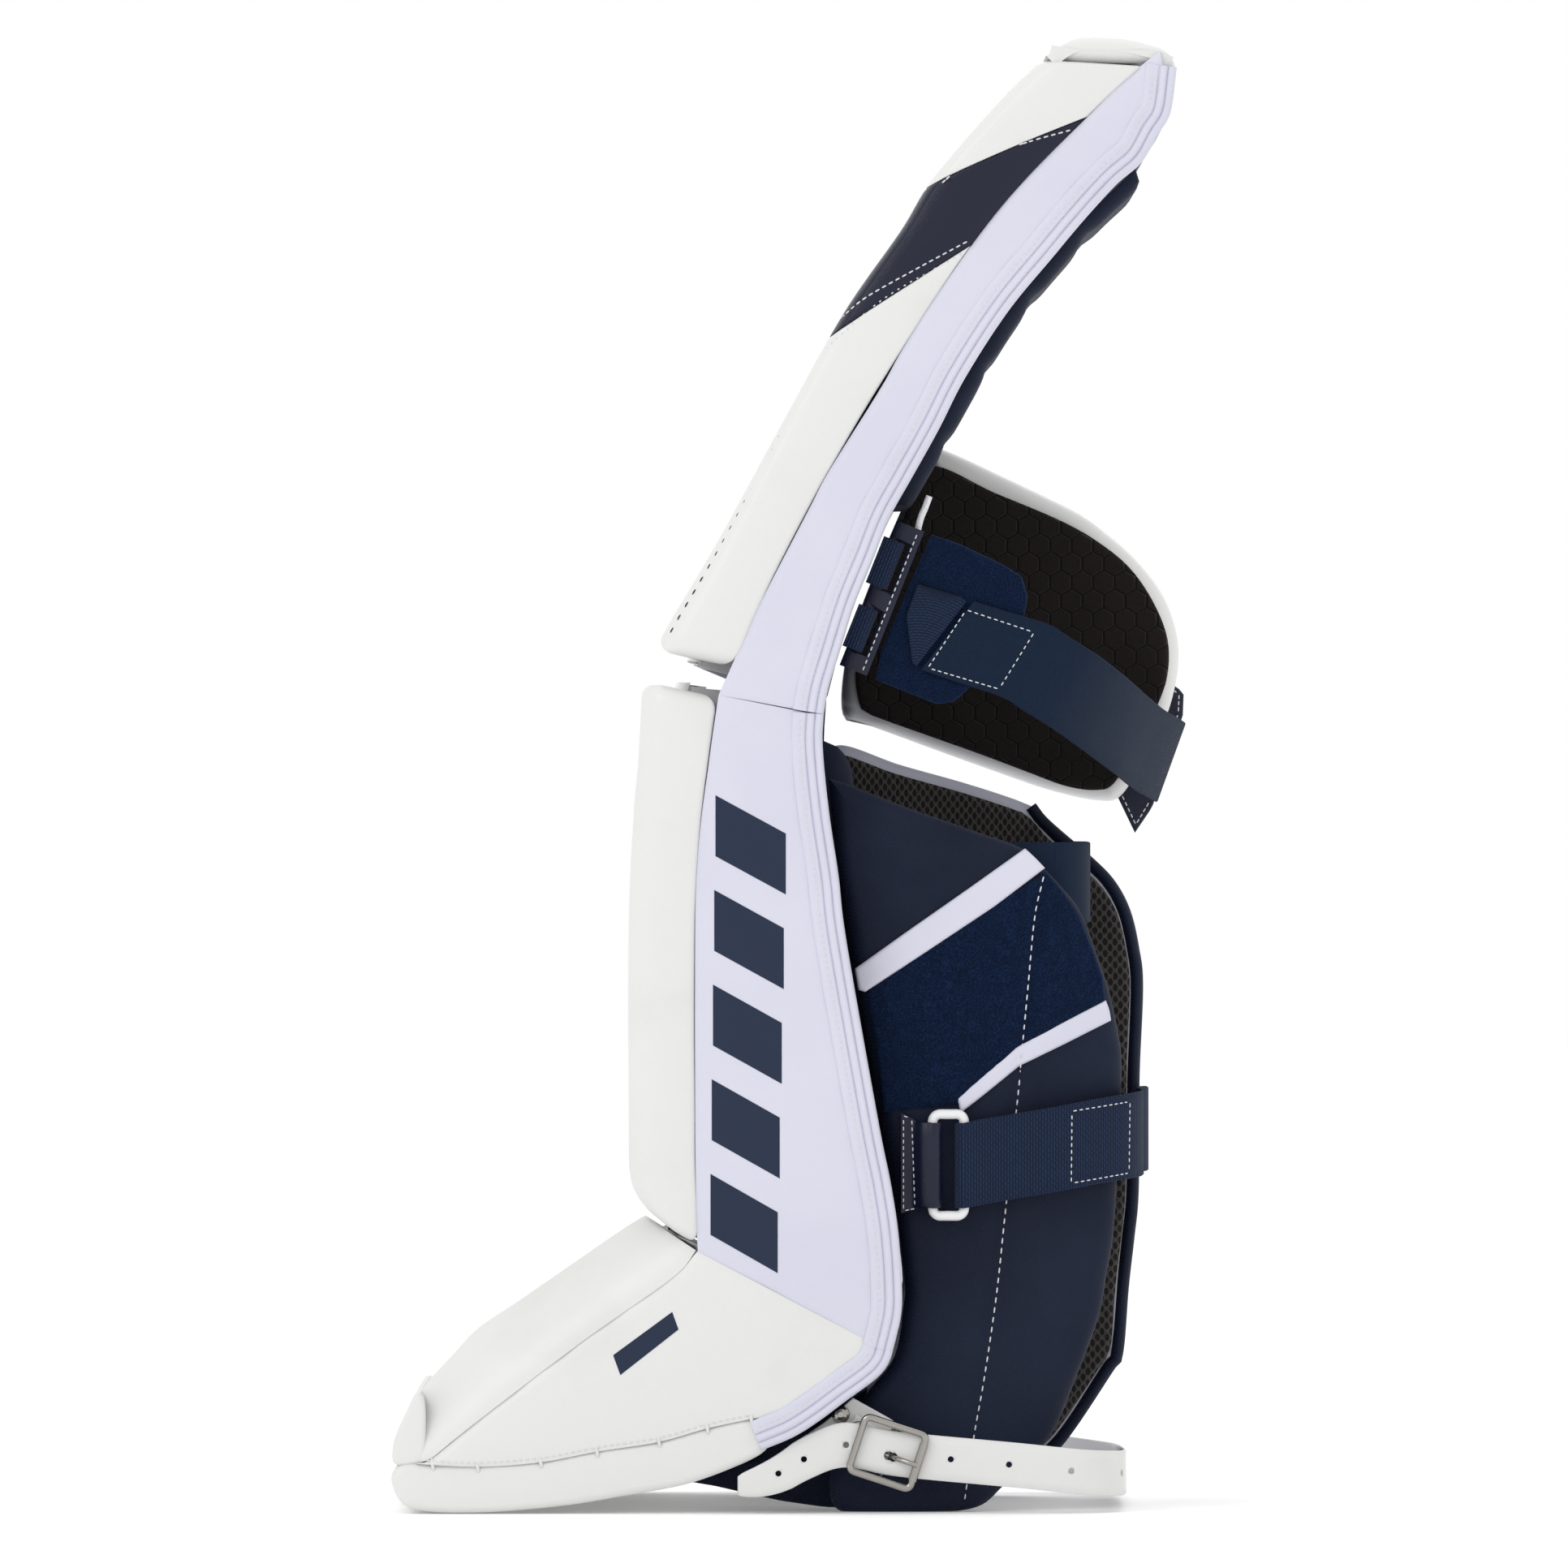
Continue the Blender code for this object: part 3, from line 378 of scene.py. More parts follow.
def leather(name, colour, worn, grain, depth, roughness, coat=0.12, shine=0.5):
    """Synthetic leather: a pebbled grain, faint creases and handling marks that dull and darken it."""
    finish = Finish(name, colour, roughness,
                    {"Coat Weight": coat, "Coat Roughness": 0.35, "Specular IOR Level": shine})
    place = finish.place()
    pebbles = finish.cells(place, grain, 'SMOOTH_F1')
    creases = finish.noise(place, 9.0, 4.0)
    marks = finish.ramp(finish.noise(place, 60.0, 5.0), 0.50, 0.74)
    finish.tint(marks * 0.55, colour, worn)
    finish.rough(finish.noise(place, 22.0, 3.0) * 0.22 + (roughness - 0.09))
    finish.bump(pebbles * 0.55 + creases * 0.45, depth)
    return finish.material


WHITE_HIDE = (0.66, 0.66, 0.648)
WHITE_LEATHER = leather("white_leather", WHITE_HIDE, worn=(0.60, 0.595, 0.57), grain=0.75, depth=0.07,
                        roughness=0.42)
NAVY_LEATHER = leather("navy_leather", (0.0042, 0.0065, 0.022), worn=(0.009, 0.0125, 0.034), grain=1.15,
                       depth=0.18, roughness=0.36, coat=0.05, shine=0.28)

LOG_CORNERS = (2.6, 8.5, 9.0, 3.0)      # the log's corners: seam, front, far front, far seam
LOG_CROWN = 1.5
LOG_SIDE_STEPS = (0.14, 0.28, 0.42, 0.56, 0.7, 0.85)


def log_ring(wide, inset):
    """The log's cross-section as (back from the front, depth), drawn in by an inset."""
    turns = ((0, -90), (-90, -180), (180, 90), (90, 0))
    places = ((wide, OUTER), (0, OUTER), (0, ROLL_INNER), (wide, ROLL_INNER))
    found = []
    for (start, stop), radius, (x, y) in zip(turns, LOG_CORNERS, places):
        size = max(radius - inset, 0.4)
        centre = (abs(x - inset - size), y + (inset + size) * (1 if y == OUTER else -1))
        angles = np.radians(np.linspace(start, stop, 7))
        arc = [(centre[0] + size * math.cos(a), centre[1] + size * math.sin(a)) for a in angles]
        if found:
            last, first = np.array(found[-1]), np.array(arc[0])
            found += [tuple(last * (1 - t) + first * t) for t in LOG_SIDE_STEPS]
        found += arc
    ring = np.array(found)
    along = np.clip(ring[:, 0] / wide, 0, 1)
    across = np.clip((ring[:, 1] - OUTER) / (ROLL_INNER - OUTER), 0, 1)
    ring[:, 1] -= LOG_CROWN * np.sin(math.pi * along) * np.clip(1 - across * 3, 0, 1)
    ring[:, 0] -= LOG_CROWN * np.sin(math.pi * across) * np.clip(1 - along * 3, 0, 1)
    return ring


def end_steps(run, step, low_round, high_round):
    """Stations along a run, closer where its two ends are rounded, and how far each is drawn in."""
    turns = np.radians([0, 14, 28, 42, 56, 72, 90])
    low = [(low_round * (1 - math.cos(a)), low_round * (1 - math.sin(a))) for a in turns]
    high = [(run - high_round * (1 - math.cos(a)), high_round * (1 - math.sin(a))) for a in turns[::-1]]
    inner = np.linspace(low_round + step / 2, run - high_round - step / 2, max(2, round(run / step)))
    return np.array(low + [(d, 0.0) for d in inner] + high)


def roll(name, length, low, high, ends, leans, cover, body, ripples=0.35):
    """One length of the roll, its ends rounded and slanted."""
    run = (high - low) * (len(length.lines["front"]) - 1)
    rings = []
    for distance, inset in end_steps(run, 5.0, *ends):
        part = distance / run
        share = low + (high - low) * part
        lean = leans[0] * (1 - part) + leans[1] * part
        wide = np.linalg.norm(length.at("seam", share + lean) - length.at("front", share))
        ring = log_ring(wide, inset)
        back = ring[:, 0:1] / wide
        slanted = share + lean * back[:, 0]
        flat = length.at("front", slanted) * (1 - back) + length.at("seam", slanted) * back
        on_side = ring[:, 1] < OUTER + 6
        depth = ring[:, 1] + ripples * ripple(flat[:, 0], flat[:, 1], 47.0, low * 9) * on_side
        rings.append(np.stack([flat[:, 0], depth, flat[:, 1]], axis=1))
    piece = skinned(name, rings, smooth_under=60)
    piece.data.materials.append(cover)
    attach(piece, body)
    return piece


BAND_LOW = 0.490
BAND_HIGH = 0.730
BAND_GAP = 0.001
BAND_LEANS = (0.150, 0.135)
ROUNDED = 7.0
SEWN = 1.4
lower_roll = roll("thigh_lower_roll", thigh, 0.004, BAND_LOW, (ROUNDED, SEWN), (0.0, BAND_LEANS[0]),
                  WHITE_LEATHER, "thigh_section")
band_roll = roll("thigh_navy_roll", thigh, BAND_LOW + BAND_GAP, BAND_HIGH, (SEWN, SEWN), BAND_LEANS,
                 NAVY_LEATHER, "thigh_section")
cap_roll = roll("thigh_cap_roll", thigh, BAND_HIGH + BAND_GAP, 0.965, (SEWN, 4.0), (BAND_LEANS[1], 0.0),
                WHITE_LEATHER, "thigh_section")
shin_roll = roll("shin_roll", shin, 0.004, 0.994, (ROUNDED, ROUNDED), (0.0, 0.0), WHITE_LEATHER,
                 "shin_section", ripples=0.5)
for piece, node, slot in ((lower_roll, "thigh_roll_lower", "white_leather"),
                          (band_roll, "thigh_roll_band", "navy_leather"),
                          (cap_roll, "thigh_roll_cap", "white_leather"),
                          (shin_roll, "shin_outer_roll", "white_leather")):
    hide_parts(node)

# ---- Side panels ---------------------------------------------------------------------------------
# Coated nylon over thin foam closes each side of the pad from the roll, or from the face, to the
# back edge. The outer one has a seam at the knee.
SIDE_SEAM = [(-41.8, 116), (-42.4, 130), (-43, 175), (-43, 260), (-42, 290), (-40, 311), (-37.7, 328),
             (-35.4, 345), (-32.6, 363.5)]
SIDE_SEAM_THIGH = [(-32.6, 363.5), (-27, 376), (-18, 396.5), (-9.7, 413), (8, 447), (17, 464), (39, 499),
                   (49, 517),
                   (65.5, 543), (87.5, 573.5), (107, 596), (131, 620), (146, 635), (163, 649.5)]
EDGE = [(44.5, 72), (48.2, 88), (48.6, 101.5), (47, 124.6), (43.6, 147), (38, 175), (24, 254), (20.5, 283),
        (17, 306),
        (14.7, 325), (13.3, 343), (13.9, 355)]
EDGE_THIGH = [(13.9, 355), (16, 366.5), (21, 383), (27.6, 404), (35.8, 424), (43, 442), (53, 460),
              (64.7, 481), (77, 505),
              (95.8, 534), (115.6, 558), (129, 574), (143.6, 590), (155, 600), (162, 612), (167.8, 622),
              (170.6, 642)]
PANEL_FOAM = 3.0
PANEL_CROWN = 0.9
PANEL_TUCK = 1.1


def nylon(name, colour, shade, weave, depth, roughness, sheen, shine=0.5):
    """Coated nylon: a fine plain weave, and a slow change of shade where it was stretched."""
    finish = Finish(name, colour, roughness,
                    {"Sheen Weight": sheen, "Sheen Roughness": 0.4, "Specular IOR Level": shine})
    across, deep, up = finish.parts(finish.place())
    around = across + deep * 0.7
    warp = finish.node("ShaderNodeMath", {"operation": 'SINE'}, {0: around * (math.tau / weave)})
    weft = finish.node("ShaderNodeMath", {"operation": 'SINE'}, {0: (up + deep * 0.2) * (math.tau / weave)})
    place = finish.place()
    slow = finish.ramp(finish.noise(place, 70.0, 3.0), 0.35, 0.7)
    threads = warp * weft * 0.5 + 0.5
    finish.tint(slow * 0.35 + threads * 0.6, colour, shade)
    finish.rough(finish.noise(place, 18.0, 3.0) * 0.2 + (roughness - 0.1))
    finish.bump(threads * 0.8 + finish.noise(place, 14.0, 2.0) * 0.5, depth)
    return finish.material


WHITE_NYLON = nylon("white_nylon", (0.60, 0.60, 0.69), shade=(0.54, 0.54, 0.645), weave=0.62, depth=0.03,
                    roughness=0.5, sheen=0.05)
NAVY_NYLON = nylon("navy_nylon", (0.0018, 0.0038, 0.0125), shade=(0.0115, 0.0180, 0.0430), weave=1.5,
                   depth=0.18,
                   roughness=0.66, sheen=0.02, shine=0.16)


def even(points, stops):
    """A line's points at the given shares of its length."""
    fine = through(points, 0.5)
    run = np.asarray(stops) * (len(fine) - 1)
    return np.stack([np.interp(run, np.arange(len(fine)), fine[:, k]) for k in range(fine.shape[1])], axis=1)


def panel(name, front_line, back_line, side, cover, columns=22, crown=PANEL_CROWN, seed=0.0):
    """A side panel between two lines, gently crowned, with its front edge tucked into the seam."""
    run = len(through(front_line, 1.0))
    ends = np.array([0, 0.7, 1.5, 2.6, 4.0]) / run
    stops = np.concatenate([ends, np.linspace(6.5 / run, 1 - 6.5 / run, max(8, run // 4)), 1 - ends[::-1]])
    one, other = even(front_line, stops), even(back_line, stops)
    part = np.linspace(0, 1, columns)[None, :, None]
    flat = one[:, None] * (1 - part) + other[:, None] * part
    part = part[..., 0]
    from_seam = part * np.linalg.norm(other - one, axis=1)[:, None]
    from_end = np.minimum(stops, 1 - stops)[:, None] * run
    rise = crown * np.sin(math.pi * part) ** 0.7 - PANEL_TUCK * np.exp(-(from_seam / 1.6) ** 2)
    rise = rise - 0.6 * np.exp(-(from_end / 1.3) ** 2)
    rise = rise + 0.28 * ripple(flat[..., 0], flat[..., 1], 38.0, seed) * np.sin(math.pi * part)
    depth = side * (abs(OUTER) + rise)
    near = np.stack([flat[..., 0], depth, flat[..., 1]], axis=-1)
    far = near - [0, side * PANEL_FOAM, 0]
    piece = sandwich(name, near, far)
    piece.data.materials.append(cover)
    return piece


def headings(line):
    """The direction of a line at each of its points."""
    run = np.gradient(line, axis=0)
    return run / np.linalg.norm(run, axis=1, keepdims=True)


def inset(points, distance):
    """A line moved sideways toward the front of the pad."""
    line = through(points, 1.0)
    run = headings(line)
    return line + np.stack([-run[:, 1], run[:, 0]], axis=1) * distance


FACE_DEPTH = 13.5
BINDING_REACH = 6.0


def behind_face(length, low, high, count):
    """An inner side panel's front line, just behind the face's turned-down edge."""
    return length.back("front", np.linspace(low, high, count), np.full(count, FACE_DEPTH + 2.0))


for label, side, shin_front, thigh_front in (
        ("outer", -1, SIDE_SEAM, SIDE_SEAM_THIGH),
        ("inner", 1, behind_face(shin, 0, 1, 30), behind_face(thigh, 0, 0.99, 30))):
    shin_panel = panel("shin_%s_side" % label, shin_front, inset(EDGE, BINDING_REACH), side, WHITE_NYLON,
                       seed=side)
    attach(shin_panel, "shin_section")
    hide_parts("shin_%s_side_panel" % label)
    thigh_panel = panel("thigh_%s_side" % label, thigh_front, inset(EDGE_THIGH, BINDING_REACH), side,
                        WHITE_NYLON,
                        seed=side + 3)
    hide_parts("thigh_%s_side_panel" % label)
    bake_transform(thigh_panel)

# ---- Edge binding --------------------------------------------------------------------------------
# White nylon tape is folded twice over the pad's back edge: a flat strip that carries the stitches,
# a soft ridge and a thin outer lip. It runs from the top of the thigh round the heel to the toe.
EDGE_BOOT = [(-13.5, 28.4), (0.7, 34.4), (12, 41.5), (23.4, 50), (37, 60), (42.5, 66.5), (44.5, 72)]
TAPE = [(13.6, -1.5), (13.8, 0.6), (13.2, 1.3), (11.5, 1.45), (10.0, 1.1), (8.6, 1.45), (7.9, 1.2),
        (7.4, 0.5), (6.8, 1.3),
        (5.9, 2.0), (4.9, 2.1), (4.1, 1.6), (3.6, 0.7), (3.0, 1.5), (2.2, 2.0), (1.2, 1.8), (0.3, 1.0),
        (-0.1, -0.6),
        (-0.2, -3.5), (0.2, -6.0), (1.0, -7.2), (7.0, -7.4), (12.0, -5.5)]
TAPE_STEP = 3.0
TAPE_SWELL = 0.3
STITCH_BACK = 10.0


def binding(name, edge, side):
    """Folded tape along the back edge of one side."""
    line = through(edge, TAPE_STEP)
    run = headings(line)
    inward = np.stack([-run[:, 1], run[:, 0]], axis=1)
    along = np.arange(len(line)) * TAPE_STEP
    tape = np.array(TAPE)
    flat = line[:, None] + inward[:, None] * tape[None, :, 0:1]
    wave = TAPE_SWELL * ripple(along[:, None], tape[None, :, 0] * 2, 21.0, side) * (tape[None, :, 1] > 0)
    depth = side * (abs(OUTER) + tape[None, :, 1] + wave)
    piece = skinned(name, np.stack([flat[..., 0], depth, flat[..., 1]], axis=-1), smooth_under=70)
    piece.data.materials.append(WHITE_NYLON)
    return piece


def grainy(name, colour, roughness, sockets, grain, depth, detail=2.0):
    """A plain finish with a fine uneven surface."""
    finish = Finish(name, colour, roughness, sockets)
    finish.bump(finish.noise(finish.place(), grain, detail), depth)
    return finish.material


THREAD = grainy("white_thread", (0.62, 0.62, 0.64), 0.6, {"Sheen Weight": 0.3}, grain=0.3, depth=0.05)
NAVY_THREAD = grainy("navy_thread", (0.010, 0.015, 0.04), 0.6, {"Sheen Weight": 0.2}, grain=0.3, depth=0.05)


def spindles(name, starts, stops, outs, thick):
    """Short lengths of thread from starts to stops, each round and pulled down at both ends."""
    points = []
    faces = []
    sides = 6
    profile = ((0.0, 0.35, -0.9), (0.16, 0.9, 0.05), (0.5, 1.0, 0.45), (0.84, 0.9, 0.05), (1.0, 0.35, -0.9))
    for start, stop, out in zip(starts, stops, outs):
        run = (stop - start) / np.linalg.norm(stop - start)
        out = out - run * out.dot(run)
        out = out / np.linalg.norm(out)
        wide = np.cross(run, out)
        base = len(points)
        for part, size, lift in profile:
            centre = start + (stop - start) * part + out * thick * lift
            for k in range(sides):
                turn = math.tau * k / sides
                points.append(centre + thick * size * (out * math.sin(turn) + wide * math.cos(turn)))
        last = base + (len(profile) - 1) * sides
        faces.append(tuple(range(base, base + sides)))
        faces.append(tuple(range(last, last + sides))[::-1])
        for ring in range(len(profile) - 1):
            for k in range(sides):
                a, b = base + ring * sides + k, base + ring * sides + (k + 1) % sides
                faces.append((a, b, b + sides, a + sides))
    return solid(name, points, faces, smooth_under=80)


def sewn(name, lines, out, pitch, long, thick, thread=THREAD, body=None):
    """Rows of stitches along lines in space, seen from the side that out points to."""
    starts, stops, outs = [], [], []
    for line in lines:
        fine = through(line, pitch)
        for point, way in zip(fine[:-1], headings(fine)[:-1]):
            starts.append(point)
            stops.append(point + way * long)
            outs.append(np.array(out, float))
    piece = spindles(name, starts, stops, outs, thick)
    piece.data.materials.append(thread)
    if body:
        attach(piece, body)
    return piece


def laid(pieces, flat, side, proud=0.0):
    """Points of the side view dropped onto the outermost of some pieces, from outside (-1) or inside (1)."""
    bpy.context.view_layer.update()
    found = []
    last = abs(OUTER) * side
    for x, z in np.asarray(flat, float):
        reached = []
        for piece in pieces if isinstance(pieces, list) else [pieces]:
            hit, place, _, _ = piece.ray_cast((x * MM, side * 0.4, z * MM), (0, -side, 0))
            if hit:
                reached.append(side * place.y / MM)
        last = side * max(reached) if reached else last
        found.append((x, last + side * proud, z))
    return np.array(found)


for label, side in (("outer", -1), ("inner", 1)):
    for part, edge in (("thigh", EDGE_THIGH), ("shin", EDGE), ("boot", EDGE_BOOT)):
        tape = binding("%s_%s_binding" % (part, label), edge, side)
        row = inset(edge, STITCH_BACK)[2:-2]
        seam = sewn("%s_%s_binding_stitches" % (part, label), [laid(tape, row[::3], side)], (0, side, 0),
                    pitch=3.0, long=2.0, thick=0.32)
        for piece in (tape, seam):
            if part == "thigh":
                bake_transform(piece)
            elif part == "shin":
                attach(piece, "shin_section")
            else:
                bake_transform(piece)
        if side < 0 and part != "boot":
            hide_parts(part + "_edge_binding")

# ---- Side graphic --------------------------------------------------------------------------------
# A row of slanted navy bars is printed on the outer side of the shin, between the roll and the edge.
PRINT = grainy("navy_print", (0.0105, 0.019, 0.046), 0.5, {"Specular IOR Level": 0.25}, grain=0.6, depth=0.02)
BARS = 5
BAR_TALL = 27.0
BAR_PITCH = 42.0
BAR_LOW = 124.0
BAR_SLANT = 17.0
BAR_FRONT = (-36.2, 0.55)        # on the lowest bar, and how far back each next bar's lies
BAR_BACK = (-6.4, 0.9)


def printed(name, corners, on, side, body, columns=14, rows=12, proud=0.16):
    """A flat printed shape with four corners, laid on a piece's surface."""
    a, b, c, d = [np.array(p, float) for p in corners]
    u = np.linspace(0, 1, columns)[None, :, None]
    v = np.linspace(0, 1, rows)[:, None, None]
    flat = (a * (1 - u) + b * u) * (1 - v) + (d * (1 - u) + c * u) * v
    near = laid(on, flat.reshape(-1, 2), side, proud).reshape(rows, columns, 3)
    piece = sandwich(name, near, near - [0, side * proud * 2.4, 0])
    piece.data.materials.append(PRINT)
    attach(piece, body)
    return piece


shin_side = bpy.data.objects["shin_outer_side"]
for k in range(BARS):
    low = BAR_LOW + k * BAR_PITCH
    left, right = BAR_FRONT[0] + BAR_FRONT[1] * k, BAR_BACK[0] + BAR_BACK[1] * k
    corners = [(left, low), (right, low - BAR_SLANT), (right, low - BAR_SLANT + BAR_TALL),
               (left, low + BAR_TALL)]
    printed("shin_bar_%d" % (k + 1), corners, shin_side, -1, "shin_section")

# ---- Boot ----------------------------------------------------------------------------------------
# White leather over foam: a sloping roll above a flat side, which meet in a ridge; a toe cap; and a
# stitched welt with white lace tabs, under which a fat bumper runs round the toe.
WELT = [(-166.5, 22.2), (-140, 21), (-112, 23), (-87, 27.7), (-59.5, 32), (-38, 38), (-17, 42.5)]
RIDGE = [(-166.8, 22.6), (-161.6, 23.6), (-153.7, 30), (-140, 41), (-94, 76), (-53.7, 104.5), (-42, 116.6)]
RIDGE_TOP = [(-166.8, 51), (-161.6, 58.6), (-151, 70), (-140, 81.5), (-121.5, 94), (-99.7, 109),
             (-80, 122.6), (-66, 132)]
BOOT_RING = [(1.0, -127.7), (0.9, -127.6), (0.75, -126.0), (0.6, -123.4), (0.45, -119.6), (0.3, -114.6),
             (0.18, -109.0),
             (0.09, -103.0), (0.03, -97.0), (0.0, -92.5), (0.02, -88.4), (0.08, -85.4), (0.2, -84.0),
             (0.6, -84.0), (1.0, -84.0)]
BOOT_STATIONS = 61
BOOT_ENDS = (0.0, 0.45, 0.72, 0.88, 0.96, 1.0)      # how full the roll is at each end's first stations


def boot_roll_rings():
    """The boot's roll as rings: its section, laid between the ridge's top and its seam."""
    ring = np.array(BOOT_RING)
    stations = np.linspace(0, 1, BOOT_STATIONS)
    rings = []
    for k, (top, seam) in enumerate(zip(even(RIDGE_TOP, stations), even(RIDGE, stations))):
        full = BOOT_ENDS[min(k, BOOT_STATIONS - 1 - k, len(BOOT_ENDS) - 1)]
        flat = top * (1 - ring[:, :1]) + seam * ring[:, :1]
        middle = flat.mean(axis=0)
        depth = ring[:, 1] + 2.2 * (1 - full) + 0.4 * ripple(flat[:, 0], flat[:, 1], 33.0, 4.0)
        flat = middle + (flat - middle) * (1 - 0.05 * (1 - full))
        rings.append(np.stack([flat[:, 0], depth, flat[:, 1]], axis=1))
    return rings


boot_roll = skinned("boot_roll", boot_roll_rings(), smooth_under=60)
boot_roll.data.materials.append(WHITE_LEATHER)
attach(boot_roll, "boot_section")
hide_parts("boot_outer_roll")

BOOT_BACK = WELT + [(-9, 43.6), (0, 44.5), (8, 48.5), (17, 55.5), (27, 63.5), (34, 69.5), (38.6, 74.3)]
for label, side in (("outer", -1), ("inner", 1)):
    front_line = RIDGE if side < 0 else behind_face(boot, 0.10, 1.0, 24)
    boot_side = panel("boot_%s_side" % label, front_line, BOOT_BACK, side, WHITE_LEATHER, 26, 1.6,
                      seed=side * 5)
    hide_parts("boot_%s_side_panel" % label)
    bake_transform(boot_side)


def grown(outline, distance):
    """A closed outline moved outward, or inward when the distance is negative."""
    before, after = np.roll(outline, 1, axis=0), np.roll(outline, -1, axis=0)
    run = after - before
    run = run / np.linalg.norm(run, axis=1, keepdims=True)
    area = np.sum(outline[:, 0] * after[:, 1] - after[:, 0] * outline[:, 1])
    return outline + np.stack([run[:, 1], -run[:, 0]], axis=1) * distance * (1 if area > 0 else -1)


def log_across(name, outline, low, high, rounding, cover, body, step=9.0, wave=0.0):
    """A side-view outline carried across the pad, with rounded ends."""
    line = np.array(outline, float)
    rings = []
    for distance, shrink in end_steps(high - low, step, rounding, rounding):
        ring = grown(line, -shrink)
        ring = ring + wave * ripple(ring[:, 0:1] + distance, ring[:, 1:2], 50.0, 2.0)
        rings.append(np.stack([ring[:, 0], np.full(len(ring), low + distance), ring[:, 1]], axis=1))
    piece = skinned(name, rings, smooth_under=50)
    piece.data.materials.append(cover)
    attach(piece, body)
    return piece


def closed(points, step=2.5):
    """A smooth closed outline through the points."""
    ring = through([points[-1], *points, points[0], points[1]], step)
    first = np.argmin(np.linalg.norm(ring - points[0], axis=1)[: len(ring) // 3])
    last = len(ring) // 2 + np.argmin(np.linalg.norm(ring[len(ring) // 2:] - points[0], axis=1))
    return ring[first:last]


BUMPER = [(-168, 22.8), (-140, 21.9), (-112, 23.9), (-87, 28.5), (-59.5, 32.8), (-38, 38.6), (-17, 42.6),
          (-10, 36),
          (-14, 26.5), (-42, 14.6), (-71, 8.6), (-105.5, 3.2), (-140, 0.5), (-163, 1.0), (-173, 4.6),
          (-178.0, 14), (-176, 20.4)]
bumper = log_across("boot_bumper", closed(BUMPER), -127.8, 127.8, 3.6, WHITE_LEATHER, "boot_section",
                    wave=0.25)
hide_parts("boot_toe_bumper")
TOE_CAP = [(-166.9, 22), (-176.5, 22), (-177.3, 30), (-174.8, 38), (-171, 46), (-167.2, 53.4), (-163.4, 51),
           (-162.6, 38), (-163.4, 24)]
toe_cap = log_across("boot_toe_cap_leather", closed(TOE_CAP), -126.5, 126.5, 2.2, WHITE_LEATHER,
                     "boot_section")
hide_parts("boot_toe_cap")

outer_boot = bpy.data.objects["boot_outer_side"]
welt_line = [(x, z + 1.8) for x, z in WELT]
sewn("boot_welt_stitches", [laid(outer_boot, even(welt_line, np.linspace(0.03, 0.99, 60)), -1)], (0, -1, 0),
     pitch=2.9, long=2.1, thick=0.34, body="boot_section")
LACES = [(-160, 22), (-140, 21), (-112, 23), (-87, 27.7), (-59.5, 32), (-38, 38), (-18.5, 42)]
starts = [np.array((x, -128.6, z + 2.8)) for x, z in LACES]
stops = [np.array((x + 1.0, -127.2, z - 3.4)) for x, z in LACES]
laces = spindles("boot_lace_tabs", starts, stops, [np.array((0, -1.0, 0))] * len(LACES), 0.85)
laces.data.materials.append(WHITE_LEATHER)
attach(laces, "boot_section")
printed("boot_size_patch", [(-76.2, 61.8), (-50.4, 82.0), (-53.2, 89.8), (-79.4, 70.6)], outer_boot, -1,
        "boot_section")

# ---- Faces ---------------------------------------------------------------------------------------
# The blocking face between the roll and the inner edge: white leather over foam, in one sheet for
# each length of the pad, with navy shapes sewn in that carry the roll's band across.
FACE_ACROSS = [(-84.2, 15.8), (-82, 14.0), (-76, 12.8), (-40, 11.8), (10, 11.2), (60, 11.4), (100, 12.4),
               (118, 14.0),
               (124.6, 17.6), (127.0, 22.0)]
NAVY_SEWN = (0.0050, 0.0078, 0.0260)
FACE_SHEET = 2.2


def face_cover(name, shapes):
    """White leather with navy shapes: each shape is two slanted lines, given as height at the middle and slope."""
    finish = Finish(name, WHITE_HIDE, 0.42, {"Coat Weight": 0.12, "Coat Roughness": 0.35})
    place = finish.place()
    _, deep, up = finish.parts(place)
    mask = None
    for low, high, slope, turn in shapes:
        line = up - abs(deep + turn) * slope
        inside = (line > low) * (line < high)
        mask = inside if mask is None else mask.sum('MAXIMUM', mask, inside)
    finish.tint(mask, WHITE_HIDE, NAVY_SEWN)
    finish.rough(finish.noise(place, 22.0, 3.0) * 0.22 + 0.33)
    finish.bump(finish.cells(place, 0.9, 'SMOOTH_F1') * 0.5 + finish.noise(place, 9.0, 4.0) * 0.5, 0.07)
    return finish.material


def face(name, length, low, high, shapes, body, node):
    """One length's face, across the pad and up it, drawn in a little at its two ends."""
    profile = through(FACE_ACROSS, 5.0)
    run = (high - low) * (len(length.lines["front"]) - 1)
    near = []
    for share in np.linspace(low, high, max(10, int(run / 6))):
        flat = length.back("front", np.full(len(profile), share), profile[:, 1])
        from_ends = ((share - low) * run, (high - share) * run)
        sink = sum(3.0 * math.exp(-(distance / 4.0) ** 2) for distance in from_ends)
        flat = flat + np.array([sink, 0]) * 0.6
        near.append(np.stack([flat[:, 0], profile[:, 0], flat[:, 1]], axis=1))
    near = np.array(near)
    far = near + np.array([FACE_SHEET, 0, 0])
    piece = sandwich(name, near, far, smooth_under=60)
    piece.data.materials.append(face_cover(name + "_leather", shapes))
    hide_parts(node)
    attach(piece, body)
    return piece


face("thigh_face", thigh, 0.0, 0.965, [(528, 600, 0.36, 84), (494, 512, 0.36, 84)], "thigh_section",
     "thigh_face_cover")
face("shin_face", shin, 0.0, 1.0, [(306, 346, 0.30, 84), (150, 168, -0.30, 84)], "shin_section",
     "shin_face_cover")
face("boot_face", boot, 0.10, 1.0, [(96, 112, 0.12, 84)], "boot_section", "boot_face_cover")

